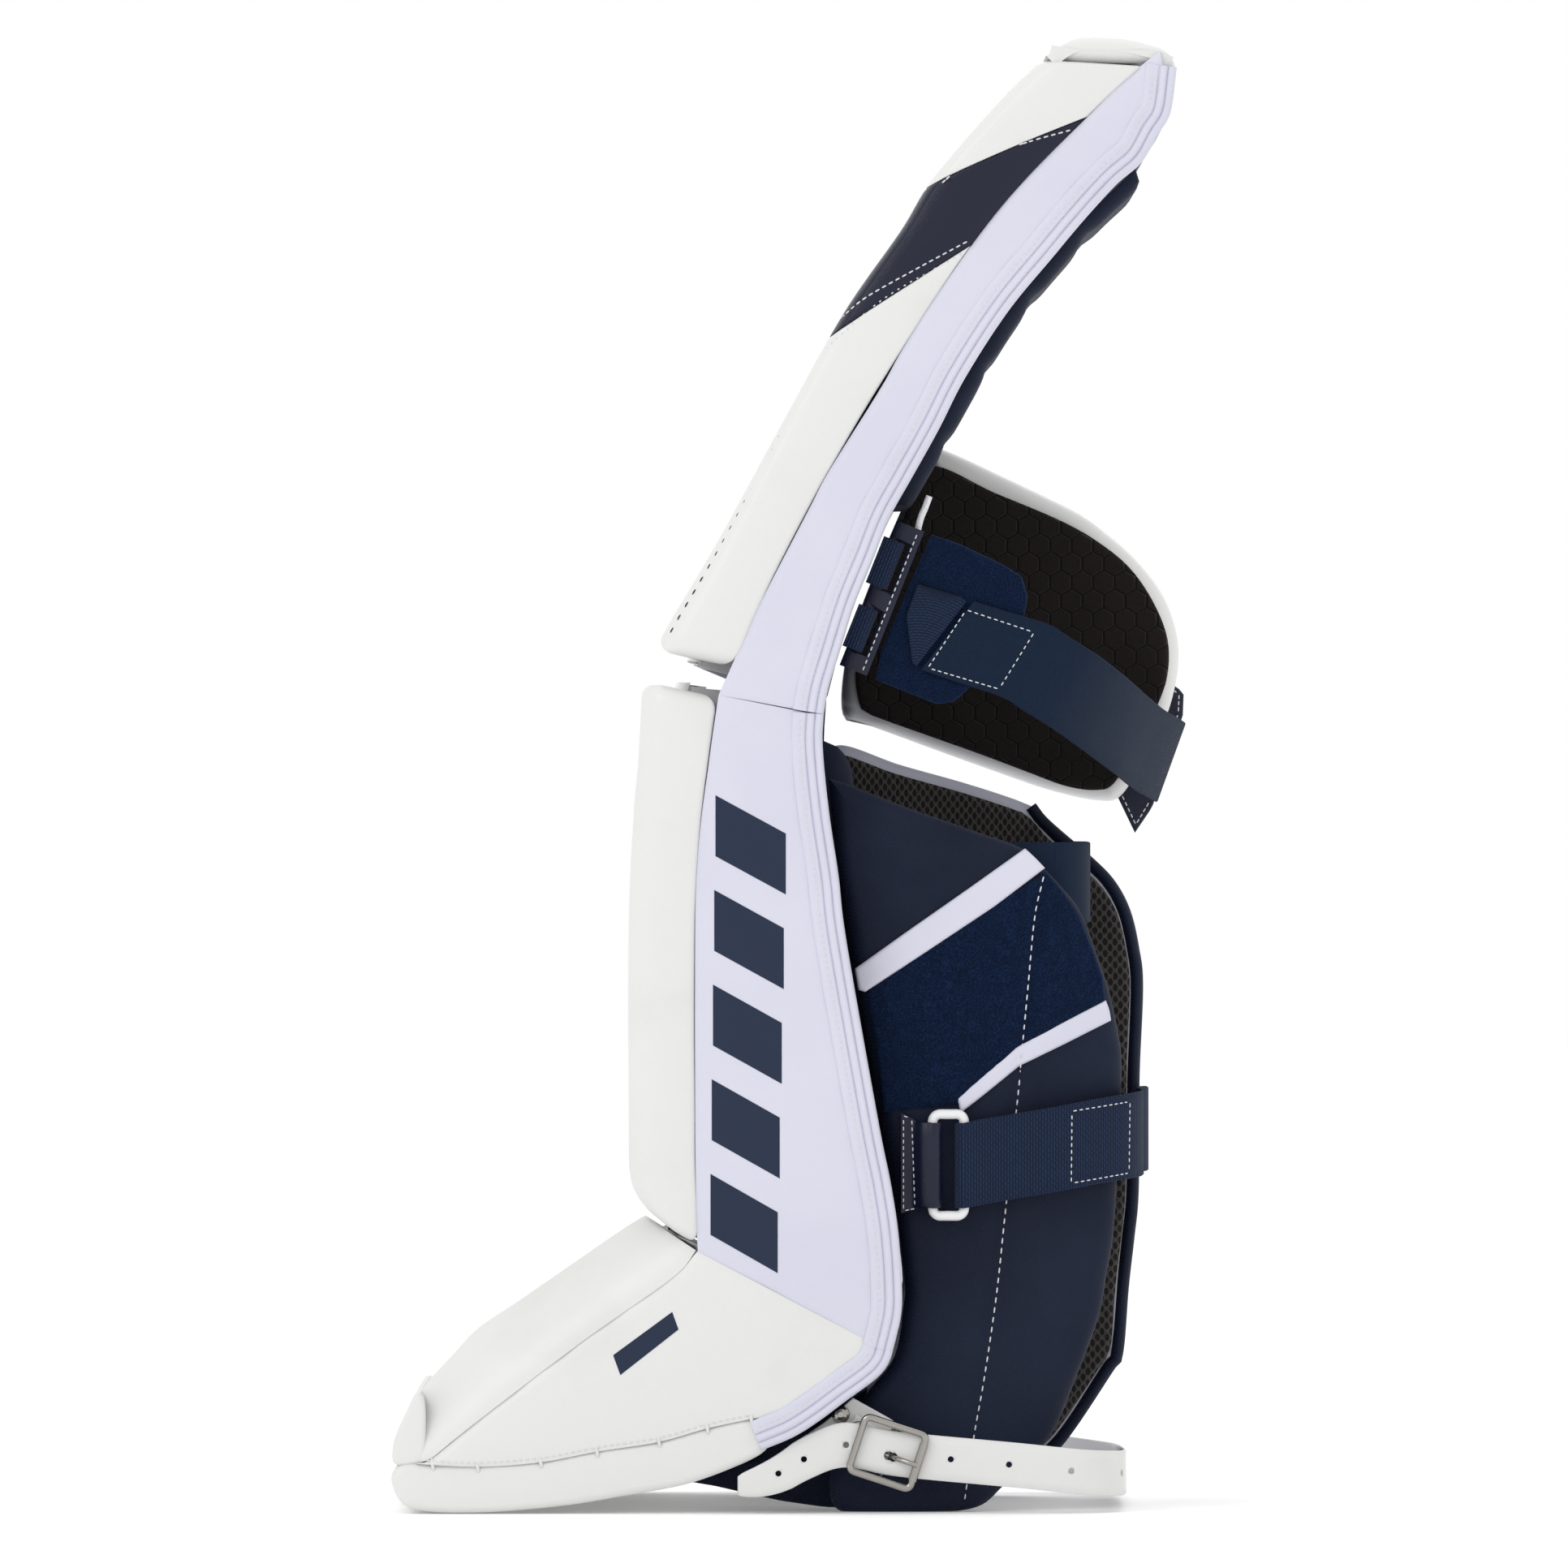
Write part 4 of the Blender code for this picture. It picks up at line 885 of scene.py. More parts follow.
# ---- Foam and backs ------------------------------------------------------------------------------
# The foam cores show only in the folds at the knee and the ankle, where white liner covers them. The
# leg side of the pad is closed with navy nylon, and quilted cushions are sewn to it at thigh and shin.
LINER = grainy("white_liner", (0.62, 0.62, 0.64), 0.6, {"Sheen Weight": 0.2}, grain=1.5, depth=0.12,
               detail=3.0)
for node in ("thigh_core", "shin_core", "boot_core"):
    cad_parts[node].material_slots[0].material = LINER
for node in ("thigh_back_panel", "shin_back_panel", "boot_sole_panel"):
    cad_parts[node].material_slots[0].material = NAVY_NYLON

TOP = [(112, 646.4), (114.6, 648.4), (119.2, 651.8), (124.6, 654.6), (130, 655.7), (146, 655.0),
       (158, 652.6), (165, 650.2),
       (169.2, 645.8), (169.6, 640.5), (160, 643.4), (140, 644.0), (124, 644.6)]
top_panel = log_across("thigh_top_leather", closed(TOP, 2.0), -126.0, 125.5, 6.0, WHITE_LEATHER,
                       "thigh_section",
                       wave=0.3)
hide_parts("thigh_top_panel")


QUILT_STEP = 3.0


def quilt(name, line, low, high, half, thick, channels, body, node, pinch=0.45):
    """A cushion sewn along the leg side, crowned across and pinched at its sewn channels."""
    run = through(line, QUILT_STEP)
    way = headings(run)
    out = np.stack([way[:, 1], -way[:, 0]], axis=1)
    first, last = int(low * (len(run) - 1)), int(high * (len(run) - 1))
    across = half * np.sin(np.linspace(-math.pi / 2, math.pi / 2, 41))
    near, far = [], []
    for k in range(first, last + 1):
        along = min(k - first, last - k) * QUILT_STEP
        edge = np.clip(np.minimum(along, half - np.abs(across)) / (thick * 1.3), 0, 1)
        rise = thick * np.sqrt(1 - (1 - edge) ** 2)
        part = (k - first) / (last - first)
        nearest = min(abs(part - channel) * (last - first) * QUILT_STEP for channel in channels)
        rise = rise * (1 - pinch * math.exp(-(nearest / 5.0) ** 2))
        near.append([(run[k][0] + out[k][0] * r, y, run[k][1] + out[k][1] * r) for y, r in zip(across, rise)])
        far.append([(run[k][0], y, run[k][1]) for y in across])
    piece = sandwich(name, near, far)
    piece.data.materials.append(NAVY_NYLON)
    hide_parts(node)
    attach(piece, body)
    return piece


def leg_side(length):
    """The line up the middle of a length's leg side, just outside its back panel."""
    return length.back("edge", np.linspace(0, 1, 24), np.full(24, -0.4))


quilt("thigh_quilt", leg_side(thigh), 0.28, 0.86, half=90.0, thick=7.0, channels=(0.2, 0.4, 0.6, 0.8),
      body="thigh_section", node="thigh_back_cushion", pinch=0.2)
quilt("shin_quilt", leg_side(shin), 0.20, 0.94, half=70.0, thick=13.0, channels=(0.25, 0.5, 0.75),
      body="shin_section", node="shin_rest_cushion")

# ---- Roll stitching ------------------------------------------------------------------------------
# White thread runs beside both seams of the navy band and through the white strip below it; dark
# thread closes the roll along its front corner, in slots 6 mm apart.
band_line_low = np.array([(21.5, 530.6), (33, 540), (54.6, 552.2), (78.6, 565.2)])
band_line_high = np.array([(66.5, 590.6), (74.5, 597.0), (88, 603.0), (105, 608.9), (124.5, 614.4)])
strip_line = np.array([(13.5, 515.5), (20.5, 522.4), (42.6, 540.6), (79, 561.4)])
band_seams = [laid([band_roll, lower_roll], even(line, np.linspace(0, 1, 40)), -1, 0.05)
              for line in (band_line_low, band_line_high)]
sewn("thigh_band_stitches", band_seams, (0, -1, 0), pitch=3.4, long=2.4, thick=0.36, body="thigh_section")
strip_seam = laid([lower_roll, band_roll], even(strip_line, np.linspace(0.03, 0.97, 40)), -1)
sewn("thigh_strip_stitches", [strip_seam], (0, -1, 0), pitch=3.2, long=1.2, thick=0.32, body="thigh_section")
corner = thigh.at("front", np.linspace(0.03, 0.43, 60))
corner_line = np.stack([corner[:, 0] + 1.5, np.full(60, -124.6), corner[:, 1]], axis=1)
sewn("thigh_corner_stitches", [corner_line], (-0.62, -0.7, 0.2), pitch=6.4, long=3.2, thick=0.42,
     thread=NAVY_THREAD, body="thigh_section")

# ---- Calf wraps ----------------------------------------------------------------------------------
# Two padded wings close round the calf. The outer one is navy nylon, with a sewn crease, a brushed
# loop panel between two white stripes, and an elastic at its top; the inner one is lined with mesh.
WRAP_LEFT = [(21, 0.3), (21, 36), (28, 46), (36, 56), (44, 66), (47.5, 76), (49.4, 90), (50.2, 101.5),
             (46, 138), (39.8, 175),
             (32.6, 216), (25.8, 254), (20.2, 290), (16.8, 322)]
OUTER_RIGHT = [(19.6, 325.6), (50, 314), (80, 303.4), (103, 295), (113.6, 285), (121, 277), (128.5, 267),
               (135.7, 248.5),
               (141.5, 231), (145, 215), (147, 198.6), (145.4, 160), (144.5, 138.6), (143, 120),
               (140, 103.5), (137, 87),
               (127, 60), (115, 33), (95, 12), (76, 0.4)]
INNER_RIGHT = [(20, 341.5), (50, 332.5), (83.5, 323), (110, 313.5), (116.5, 305.5), (136.5, 288), (146, 278),
               (152.5, 265.5),
               (156.3, 249), (158, 232), (156.4, 190), (156, 140), (154, 118), (151.5, 96), (149, 66),
               (145, 59), (122, 25),
               (105, 12), (84, 0.4)]
WRAP_FACE = {-1: 104.0, 1: 94.0}
WRAP_THICK = 12.0
WRAP_CURL = 0.35
FLOOR_GAP = 0.3


def crease_at(up):
    """How far back the sewn crease lies at a height."""
    return 76 + 36 * (up - 1) / 284


def wrap_face(side, back, up, sewn_in=1.3):
    """The depth of a wrap's outward face: flat to its crease, then turned in behind the calf."""
    past = back - crease_at(up)
    turned = 4.0 * np.log1p(np.exp(np.clip(past / 4.0, -30, 30)))
    swell = 1.1 * np.sin(np.clip((back - 30) / (crease_at(up) - 30), 0, 1) * math.pi)
    return side * (WRAP_FACE[side] + swell - WRAP_CURL * turned - sewn_in * np.exp(-(past / 3.2) ** 2))


def skin(side, moved=0.0, sewn_in=1.3):
    """A sheet's face that follows a wrap's outward face, moved in depth."""
    return lambda back, up: wrap_face(side, back, up, sewn_in) + moved


def level(depth):
    """A sheet's face at one depth all over."""
    return lambda back, up: np.full_like(back, depth)


def straight(outline):
    """A closed outline with straight sides between its points."""
    return np.vstack([even([a, b], np.linspace(0, 0.95, 12)) for a,
                      b in zip(outline, [*outline[1:], outline[0]])])


def plate(name, outline, near_at, far_at, rounding, cover, body, turn=90.0, rows=60, columns=34,
          wave=0.0,
          wavelength=40.0, seed=0.0, smooth_outline=True):
    """A padded or flat sheet cut to an outline in the side view, its edges rounded over."""
    line = closed(outline, 2.0) if smooth_outline else straight(outline)
    angle = math.radians(turn)
    way, side_way = np.array([math.cos(angle), math.sin(angle)]), np.array([math.sin(angle),
        -math.cos(angle)])
    along, across = line @ way, line @ side_way
    ends = along.min() + 0.02, along.max() - 0.02
    stops = ends[0] + (ends[1] - ends[0]) * (0.5 - 0.5 * np.cos(np.linspace(0, math.pi, rows)))
    parts = 0.5 - 0.5 * np.cos(np.linspace(0, math.pi, columns))
    along_next, across_next = np.roll(along, -1), np.roll(across, -1)
    grid = []
    for stop in stops:
        crossing = (along - stop) * (along_next - stop) <= 0
        gap = along_next[crossing] - along[crossing]
        share = (stop - along[crossing]) / np.where(gap == 0, 1, gap)
        places = across[crossing] + share * (across_next[crossing] - across[crossing])
        places = places.min() + (places.max() - places.min()) * parts
        grid.append(way * stop + side_way * places[:, None])
    grid = np.array(grid)
    grid[..., 1] = np.maximum(grid[..., 1], FLOOR_GAP)
    flat = grid.reshape(-1, 2)
    runs = np.roll(line, -1, axis=0) - line
    share = ((flat[:, None] - line) * runs).sum(-1) / np.maximum((runs ** 2).sum(-1), 1e-9)
    nearest = line + runs * np.clip(share, 0, 1)[..., None]
    from_edge = np.linalg.norm(flat[:, None] - nearest, axis=-1).min(axis=1).reshape(grid.shape[:2])
    from_edge[0], from_edge[-1], from_edge[:, 0], from_edge[:, -1] = 0, 0, 0, 0
    over = np.sqrt(1 - (1 - np.clip(from_edge / rounding, 0, 1)) ** 2)
    back, up = grid[..., 0], grid[..., 1]
    near, far = near_at(back, up), far_at(back, up)
    middle = (near + far) / 2
    swell = wave * ripple(back, up, wavelength, seed) * over
    near = middle + (near - middle) * over + swell
    far = middle + (far - middle) * over + swell * 0.5
    piece = sandwich(name, np.stack([back, near, up], axis=-1), np.stack([back, far, up], axis=-1),
                     smooth_under=70)
    piece.data.materials.append(cover)
    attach(piece, body)
    return piece


def fuzz(name, colour, highlight_and_tone):
    """Brushed loop pile: a dense, uneven nap painted lighter where its tufts stand highest (a painted highlight on
    the tips) and in random patches, and a soft sheen.
    """
    finish = Finish(name, colour, 0.95, {"Sheen Weight": 0.16, "Sheen Roughness": 0.5,
                                         "Sheen Tint": (0.2, 0.4, 0.9, 1.0), "Specular IOR Level": 0.1})
    place = finish.place()
    tufts = finish.noise(place, 0.75, 3.0)
    patches = finish.noise(place, 5.0, 4.0)
    # Painted highlight: the nap's colour follows the tufts' relief, lighter where they stand highest; the patches
    # add random tone.
    finish.tint(finish.ramp(tufts * 0.85 + patches * 0.2, 0.40, 0.82), colour, highlight_and_tone)
    finish.bump(tufts * 0.7 + finish.noise(place, 2.2, 3.0) * 0.6, 0.75)
    return finish.material


# The second colour is the painted highlight on the nap's tips, mixed with random tone.
FUZZ = fuzz("loop_fastener", (0.0012, 0.0042, 0.0155), (0.0068, 0.0195, 0.061))


def mesh_knit(name, rib, hole, pitch, tall, open_wide, open_tall):
    """Spacer mesh: long round holes in staggered rows, the ribs between them standing proud; the holes are painted
    near-black as painted shade.
    """
    finish = Finish(name, rib, 0.85, {"Sheen Weight": 0.15})
    across, deep, up = finish.parts(finish.place())
    around = across + deep * 0.35
    nearest = None
    for shift in (0.0, 0.5):
        one = ((around / pitch + shift) % 1.0 - 0.5) * (pitch / open_wide)
        other = ((up / tall + shift) % 1.0 - 0.5) * (tall / open_tall)
        reach = one * one + other * other
        nearest = reach if nearest is None else nearest.sum('MINIMUM', nearest, reach)
    solid_part = finish.ramp(nearest, 0.75, 1.35)
    # Painted shade: the open holes are tinted near-black for the hollow seen through them.
    finish.tint(1 - solid_part, rib, hole)
    finish.bump(solid_part * 0.85 + finish.noise(finish.place(), 0.5) * 0.2, 0.9)
    return finish.material


# The second colour is the painted shade in the mesh's open holes.
MESH = mesh_knit("mesh_lining", (0.070, 0.061, 0.055), (0.0015, 0.0012, 0.0012), pitch=3.9, tall=5.2,
                 open_wide=0.95, open_tall=1.65)

outer_wrap = plate("calf_outer_wing", WRAP_LEFT + OUTER_RIGHT, skin(-1), skin(-1, WRAP_THICK), 7.0,
                   NAVY_NYLON, "outer_wrap", rows=120, columns=60, wave=0.8, wavelength=58.0,
                   seed=1.0)
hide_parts("outer_calf_wrap")
inner_wrap = plate("calf_inner_wing", WRAP_LEFT + INNER_RIGHT, skin(1, -WRAP_THICK), skin(1), 6.0,
                   WHITE_NYLON, "inner_wrap", rows=100, columns=50, wave=0.7, wavelength=62.0,
                   seed=2.0)
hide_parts("inner_calf_wrap")
LINING_DROP = 4.5
LINING_PROUD = 2.6
lining_line = grown(closed(WRAP_LEFT + INNER_RIGHT, 8.0), -LINING_DROP)
lining = plate("calf_mesh_lining", [tuple(p) for p in lining_line], skin(1, -WRAP_THICK - LINING_PROUD),
               skin(1, 1.0 - WRAP_THICK), 3.0, MESH, "inner_wrap", rows=90, columns=44,
               wave=0.5, wavelength=45.0, seed=3.0)
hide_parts("inner_calf_lining")


def tape_round(name, path, radius, cover, body, flat=0.55, step=3.0):
    """Folded tape or piping along a line in space, flatter than it is wide."""
    line = through(path, step)
    deep = np.array([0, 1.0, 0])
    across = np.cross(headings(line), deep)
    across = across / np.linalg.norm(across, axis=1, keepdims=True)
    turns = np.linspace(0, math.tau, 13)[:-1]
    one, other = np.cos(turns)[None, :, None], np.sin(turns)[None, :, None]
    rings = line[:, None] + radius * (across[:, None] * one * flat + deep * other)
    piece = skinned(name, rings, smooth_under=80)
    piece.data.materials.append(cover)
    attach(piece, body)
    return piece


lining_edge = np.array(INNER_RIGHT[3:-1], float)
lining_depth = wrap_face(1, lining_edge[:, 0], lining_edge[:, 1]) - WRAP_THICK * 0.62
lining_path = np.stack([lining_edge[:, 0] - 1.4, lining_depth, lining_edge[:, 1]], axis=1)
tape_round("calf_inner_edge_tape", lining_path, 5.6, NAVY_NYLON, "inner_wrap")

HOOK = [(41, 178), (74, 182), (100, 205), (120, 216.5), (139.6, 227.6), (138.4, 238), (134.4, 249),
        (127.6, 266), (120, 277),
        (112.8, 285.0), (90, 269.6), (60, 249.8), (33.5, 231.5), (38, 205)]
STRIPE_HIGH = [(29.5, 232.4), (32.5, 231.4), (60, 249.4), (90, 269.4), (112.6, 286.6), (108, 291.4),
               (103.6, 295.4), (80, 278.6),
               (50, 257.6), (27.8, 241.8)]
STRIPE_LOW = [(75.0, 177.6), (84.5, 185.0), (101, 198.4), (122, 208.5), (142.2, 218.6), (141.4, 223.4),
              (139.8, 227.6), (120, 217.6),
              (100, 207.0), (80, 190.0), (73.6, 184.0)]
hook = plate("calf_loop_panel", HOOK, skin(-1, -1.7), skin(-1, 0.6), 1.6, FUZZ, "outer_wrap",
             rows=80, columns=70, wave=0.22, wavelength=6.0, smooth_outline=False)
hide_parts("calf_hook_panel")
stripes = []
for label, outline, turn in (("upper", STRIPE_HIGH, 34.0), ("lower", STRIPE_LOW, 32.0)):
    stripe = plate("calf_%s_stripe" % label, outline, skin(-1, -2.3, sewn_in=0.6), skin(-1, 0.6), 1.5,
                   WHITE_NYLON, "outer_wrap", turn=turn, rows=70, columns=12, wave=0.15,
                   smooth_outline=False)
    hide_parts("calf_stripe_" + label)
    stripes.append(stripe)
crease_line = [(112, 283), (108, 265), (105, 234), (102, 202), (100.6, 186), (95, 134.5), (91, 97),
               (85.6, 60), (81, 34), (76.6, 4)]
crease_seam = laid([outer_wrap, hook, *stripes], even(crease_line, np.linspace(0, 1, 130)), -1)
sewn("calf_crease_stitches", [crease_seam], (0, -1, 0), pitch=4.4, long=3.0, thick=0.34, body="outer_wrap")

# ---- Straps' materials ---------------------------------------------------------------------------
# The calf strap is a ribbed polyester webbing, the knee strap and the wrap's loop are knitted elastic.
# Both are woven to the strap's own length, so their pattern follows the strap round its bends.
def woven(name, colour, highlight_and_tone, across_mm, along_mm, depth, fleck=0.35):
    """A narrow weave: staggered bars across the strap, painted lighter where they rise and darker in the hollows
    between them (painted highlight and shade), and uneven in tone like real yarn.
    """
    finish = Finish(name, colour, 0.8, {"Specular IOR Level": 0.12, "Sheen Weight": 0.03,
                                        "Sheen Roughness": 0.4})
    across, along, _ = finish.parts(finish.place("UV"))
    row = along / along_mm
    shift = finish.ramp(row % 2.0, 0.99, 1.01) * 0.5
    bar = abs(row % 1.0 - 0.5) * 2.0
    yarn = abs((across / across_mm + shift) % 1.0 - 0.5) * 2.0
    rise = (1 - bar * bar) * (1 - yarn * yarn * 0.55)
    tone = finish.noise(finish.place(), 1.6, 3.0)
    # Painted highlight and shade: the colour follows the bars' relief, lighter where they rise; the noise adds
    # random yarn tone.
    finish.tint(rise * 0.75 + tone * fleck - 0.1, colour, highlight_and_tone)
    finish.bump(rise, depth)
    return finish.material


# The second colours are the painted highlight on the raised bars, mixed with random yarn tone.
WEBBING = woven("ribbed_webbing", (0.0028, 0.006, 0.017), (0.019, 0.033, 0.076), 2.6, 1.3, 0.42)
ELASTIC = woven("knitted_elastic", (0.0025, 0.0075, 0.020), (0.011, 0.025, 0.056), 1.1, 0.85, 0.22, 0.25)
NICKEL = Finish("polished_nickel", (0.34, 0.325, 0.305), 0.16, {"Metallic": 1.0})
NICKEL.rough(NICKEL.noise(NICKEL.place(), 3.0, 3.0) * 0.22 + 0.06)
NICKEL.bump(NICKEL.noise(NICKEL.place(), 1.4, 3.0), 0.02)
NICKEL = NICKEL.material
PLASTIC = grainy("white_plastic", (0.74, 0.74, 0.75), 0.34,
                 {"Subsurface Weight": 0.05, "Subsurface Scale": 0.002},
                 grain=0.8, depth=0.03, detail=3.0)
HEX_SIZE = 9.8


def hexagons(name, colour, groove_shade):
    """Soft foam-backed lining pressed with a honeycomb of shallow grooves, painted darker in the grooves as
    painted shade.
    """
    finish = Finish(name, colour, 0.9, {"Sheen Weight": 0.10, "Specular IOR Level": 0.16})
    back, _, up = finish.parts(finish.place())
    tall = HEX_SIZE * math.sqrt(3)
    cell = None
    for shift in (0.0, 0.5):
        a = abs((back / HEX_SIZE + shift) % 1.0 - 0.5) * HEX_SIZE
        b = abs((up / tall + shift) % 1.0 - 0.5) * tall
        reach = a.sum('MAXIMUM', a, a * 0.5 + b * (math.sqrt(3) / 2))
        cell = reach if cell is None else cell.sum('MINIMUM', cell, reach)
    pressed = finish.ramp(cell, HEX_SIZE * 0.5 - 0.75, HEX_SIZE * 0.5 - 0.1)
    pile = finish.noise(finish.place(), 0.7, 3.0)
    # Painted shade: the pressed grooves are tinted toward the near-black second colour.
    finish.tint(pressed * 0.8, colour, groove_shade)
    finish.bump((1 - pressed) * 0.85 + pile * 0.15, 1.3)
    return finish.material


# The second colour is the painted shade in the pressed grooves.
HEX_LINING = hexagons("hexagon_lining", (0.0135, 0.0098, 0.0094), (0.0015, 0.001, 0.001))


def strap(name, path, across, width, thick, cover, body, node=None, step=1.6, turned_by=1.0):
    """A flat strap along a line, with a soft edge; across is one direction, or a start and an end."""
    line = through(path, step)
    count = len(line)
    share = np.linspace(0, 1, count)
    ends = np.atleast_2d(np.asarray(across, float))
    side_way = ends[0] + (ends[-1] - ends[0]) * np.minimum(1, share / turned_by)[:, None]
    side_way = side_way / np.linalg.norm(side_way, axis=1, keepdims=True)
    out = np.cross(headings(line), side_way)
    out = out / np.linalg.norm(out, axis=1, keepdims=True)
    wide = np.array([width(s) if callable(width) else width for s in share])
    edge = thick * 0.32
    rings = []
    for k in range(count):
        half = wide[k] / 2
        top = [(-half, thick / 2 - edge), (-half + edge, thick / 2)]
        top += [(half * f, thick / 2) for f in (-0.6, -0.2, 0.2, 0.6)]
        top += [(half - edge, thick / 2), (half, thick / 2 - edge)]
        ring = top + [(a, -b) for a, b in reversed(top)]
        rings.append([line[k] + side_way[k] * a + out[k] * b for a, b in ring])
    piece = skinned(name, rings, smooth_under=60)
    piece.data.materials.append(cover)
    if node:
        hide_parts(node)
    if body:
        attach(piece, body)
    return piece


def bight(centre, radius, start, stop, up, count=13):
    """Part of a turn round an upright bar, seen from above."""
    turns = [math.radians(start + (stop - start) * k / (count - 1)) for k in range(count)]
    return [(centre[0] + radius * math.cos(t), centre[1] + radius * math.sin(t), up) for t in turns]


def boxed(corners):
    """The straight sides of a closed outline, as closely spaced points for stitching."""
    corners = [np.array(c, float) for c in corners]
    sides = []
    for a, b in zip(corners, corners[1:] + corners[:1]):
        count = max(4, int(np.linalg.norm(b - a) / 2))
        sides.append(np.array([a + (b - a) * s for s in np.linspace(0.02, 0.98, count)]))
    return sides


def box_stitch(name, corners, on, side, body, pitch=3.0, long=2.0, thick=0.28):
    """A row of stitches round a closed outline, on a piece's surface."""
    lines = [laid(on, line, side, 0.05) for line in boxed(corners)]
    return sewn(name, lines, (0, side, 0), pitch, long, thick, body=body)


def rod(name, path, radius, cover, body, node=None, cycle=False, sides=16):
    """A round bar along a line; a closed one has no ends."""
    line = np.asarray(path, float)
    if cycle:
        run = np.roll(line, -1, axis=0) - np.roll(line, 1, axis=0)
        run = run / np.linalg.norm(run, axis=1, keepdims=True)
    else:
        run = headings(line)
    held = np.array([0.0, 1.0, 0.0]) if abs(run[0][1]) < 0.8 else np.array([1.0, 0.0, 0.0])
    rings = []
    for point, way in zip(line, run):
        held = held - way * held.dot(way)
        held = held / np.linalg.norm(held)
        other = np.cross(way, held)
        rings.append([point + radius * (held * math.cos(t) + other * math.sin(t))
                      for t in np.linspace(0, math.tau, sides + 1)[:-1]])
    if cycle:
        faces = []
        for r in range(len(rings)):
            here, after = r * sides, (r + 1) % len(rings) * sides
            faces += [(here + k, here + (k + 1) % sides, after + (k + 1) % sides, after + k)
                      for k in range(sides)]
        piece = solid(name, np.array(rings).reshape(-1, 3), faces, smooth_under=60)
    else:
        piece = skinned(name, rings, smooth_under=60)
    piece.data.materials.append(cover)
    if node:
        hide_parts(node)
    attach(piece, body)
    return piece


def frame_line(half_along, half_up, corner, turn_steps=7, side_steps=6):
    """A rectangle with round corners, as (along, up)."""
    arcs = []
    for quarter, (a, u) in enumerate(((1, 1), (-1, 1), (-1, -1), (1, -1))):
        middle = (a * (half_along - corner), u * (half_up - corner))
        turns = [math.radians(90 * quarter + 90 * k / (turn_steps - 1)) for k in range(turn_steps)]
        arcs.append([(middle[0] + corner * math.cos(t), middle[1] + corner * math.sin(t)) for t in turns])
    found = []
    for arc, following in zip(arcs, arcs[1:] + arcs[:1]):
        (a, u), (next_a, next_u) = arc[-1], following[0]
        found += arc
        found += [(a + (next_a - a) * k / side_steps, u + (next_u - u) * k / side_steps)
                  for k in range(1, side_steps)]
    return found


def drilled(piece, cutters):
    """Cuts some solids out of a piece, and removes them."""
    for cutter in cutters:
        cut = piece.modifiers.new("cut", 'BOOLEAN')
        cut.operation = 'DIFFERENCE'
        cut.solver = 'EXACT'
        cut.object = cutter
    bpy.context.view_layer.update()
    cut_piece = piece.evaluated_get(bpy.context.evaluated_depsgraph_get())
    made = bpy.data.meshes.new_from_object(cut_piece)
    piece.modifiers.clear()
    piece.data = made
    for cutter in cutters:
        bpy.data.objects.remove(cutter)


def pin_cutter(centre, way, radius, reach=4.0, sides=20):
    """A round solid through a point, along a direction, to cut a punched hole."""
    way = np.asarray(way, float) / np.linalg.norm(way)
    side_way = np.cross(way, [0, 0, 1.0]) if abs(way[2]) < 0.9 else np.cross(way, [0, 1.0, 0])
    side_way = side_way / np.linalg.norm(side_way)
    other = np.cross(way, side_way)
    turns = np.linspace(0, math.tau, sides + 1)[:-1]
    ring = np.array([radius * (side_way * math.cos(t) + other * math.sin(t)) for t in turns])
    return skinned("hole", [np.asarray(centre, float) + way * d + ring for d in (-reach, reach)])


# ---- Calf elastic and strap ----------------------------------------------------------------------
# A 36 mm elastic joins the tops of both wraps behind the calf. Below it a navy leather tab holds a
# white plastic ring, and ribbed webbing runs from the ring round to the inner side.
strap("calf_top_elastic", [(92, -88.6, 280), (112, -86.6, 280), (124, -80, 280), (131.4, -66, 280),
                           (133, -40, 280),
                                     (133, 0, 280), (133, 36, 280), (131.4, 54, 280), (127, 68, 280)],
                                     (0, 0, 1), 36.0, 1.6, ELASTIC,
                "outer_wrap", "calf_elastic")
RING_X = 69.5
RING_Y = -110.6
RING_Z = 154.6
RING_HALF = 7.0
BIGHT = 3.45
ring_line = [(RING_X + a, RING_Y, RING_Z + u) for a, u in frame_line(RING_HALF, 22.6, 3.4)]
rod("calf_strap_ring", ring_line, 2.2, PLASTIC, "ring", "calf_ring", cycle=True)
LAYER = RING_Y + BIGHT
LEFT_BAR = (RING_X - RING_HALF, RING_Y)
RIGHT_BAR = (RING_X + RING_HALF, RING_Y)


def tab_width(share):
    """The doubled tab widens toward its sewn ends."""
    return 38 + 18 * max(0.0, abs(share * 2 - 1) - 0.6)


tab_line = [(48.5, LAYER, 155.4), (54, LAYER, 155)] + bight(LEFT_BAR, BIGHT, 90, -90, 154.4) \
    + [(58, -112.8, 154.8), (54, LAYER - 1.95, 155), (48.5, LAYER - 1.95, 155.4)]
tab = strap("calf_leather_tab", tab_line, (0, 0, 1), tab_width, 1.5, NAVY_LEATHER, "outer_wrap",
            "calf_strap_tab", step=0.8)
box_stitch("calf_tab_stitches", [(49.5, 176.4), (53.2, 175.2), (54.6, 135.2), (49.5, 134.2)],
           [tab, outer_wrap], -1, "outer_wrap")
web_line = [(100, -107.2, 158.6), (92, -107.2, 157.2), (84, -107.2, 156)] + bight(RIGHT_BAR, BIGHT, 90, 270,
    154.4) \
    + [(83, -112.6, 155.6), (90, -110.4, 156.8), (100, -110.2, 158.6), (118, -107.6, 161.6),
       (134, -101, 164.6),
       (147, -92, 166.6), (154, -80, 167.6), (156.5, -62, 168), (157, -30, 168), (157, -1, 168)]
web = strap("calf_webbing", web_line, (0, 0, 1), 38.0, 1.5, WEBBING, "webbing_strap",
            "calf_strap", step=0.8)
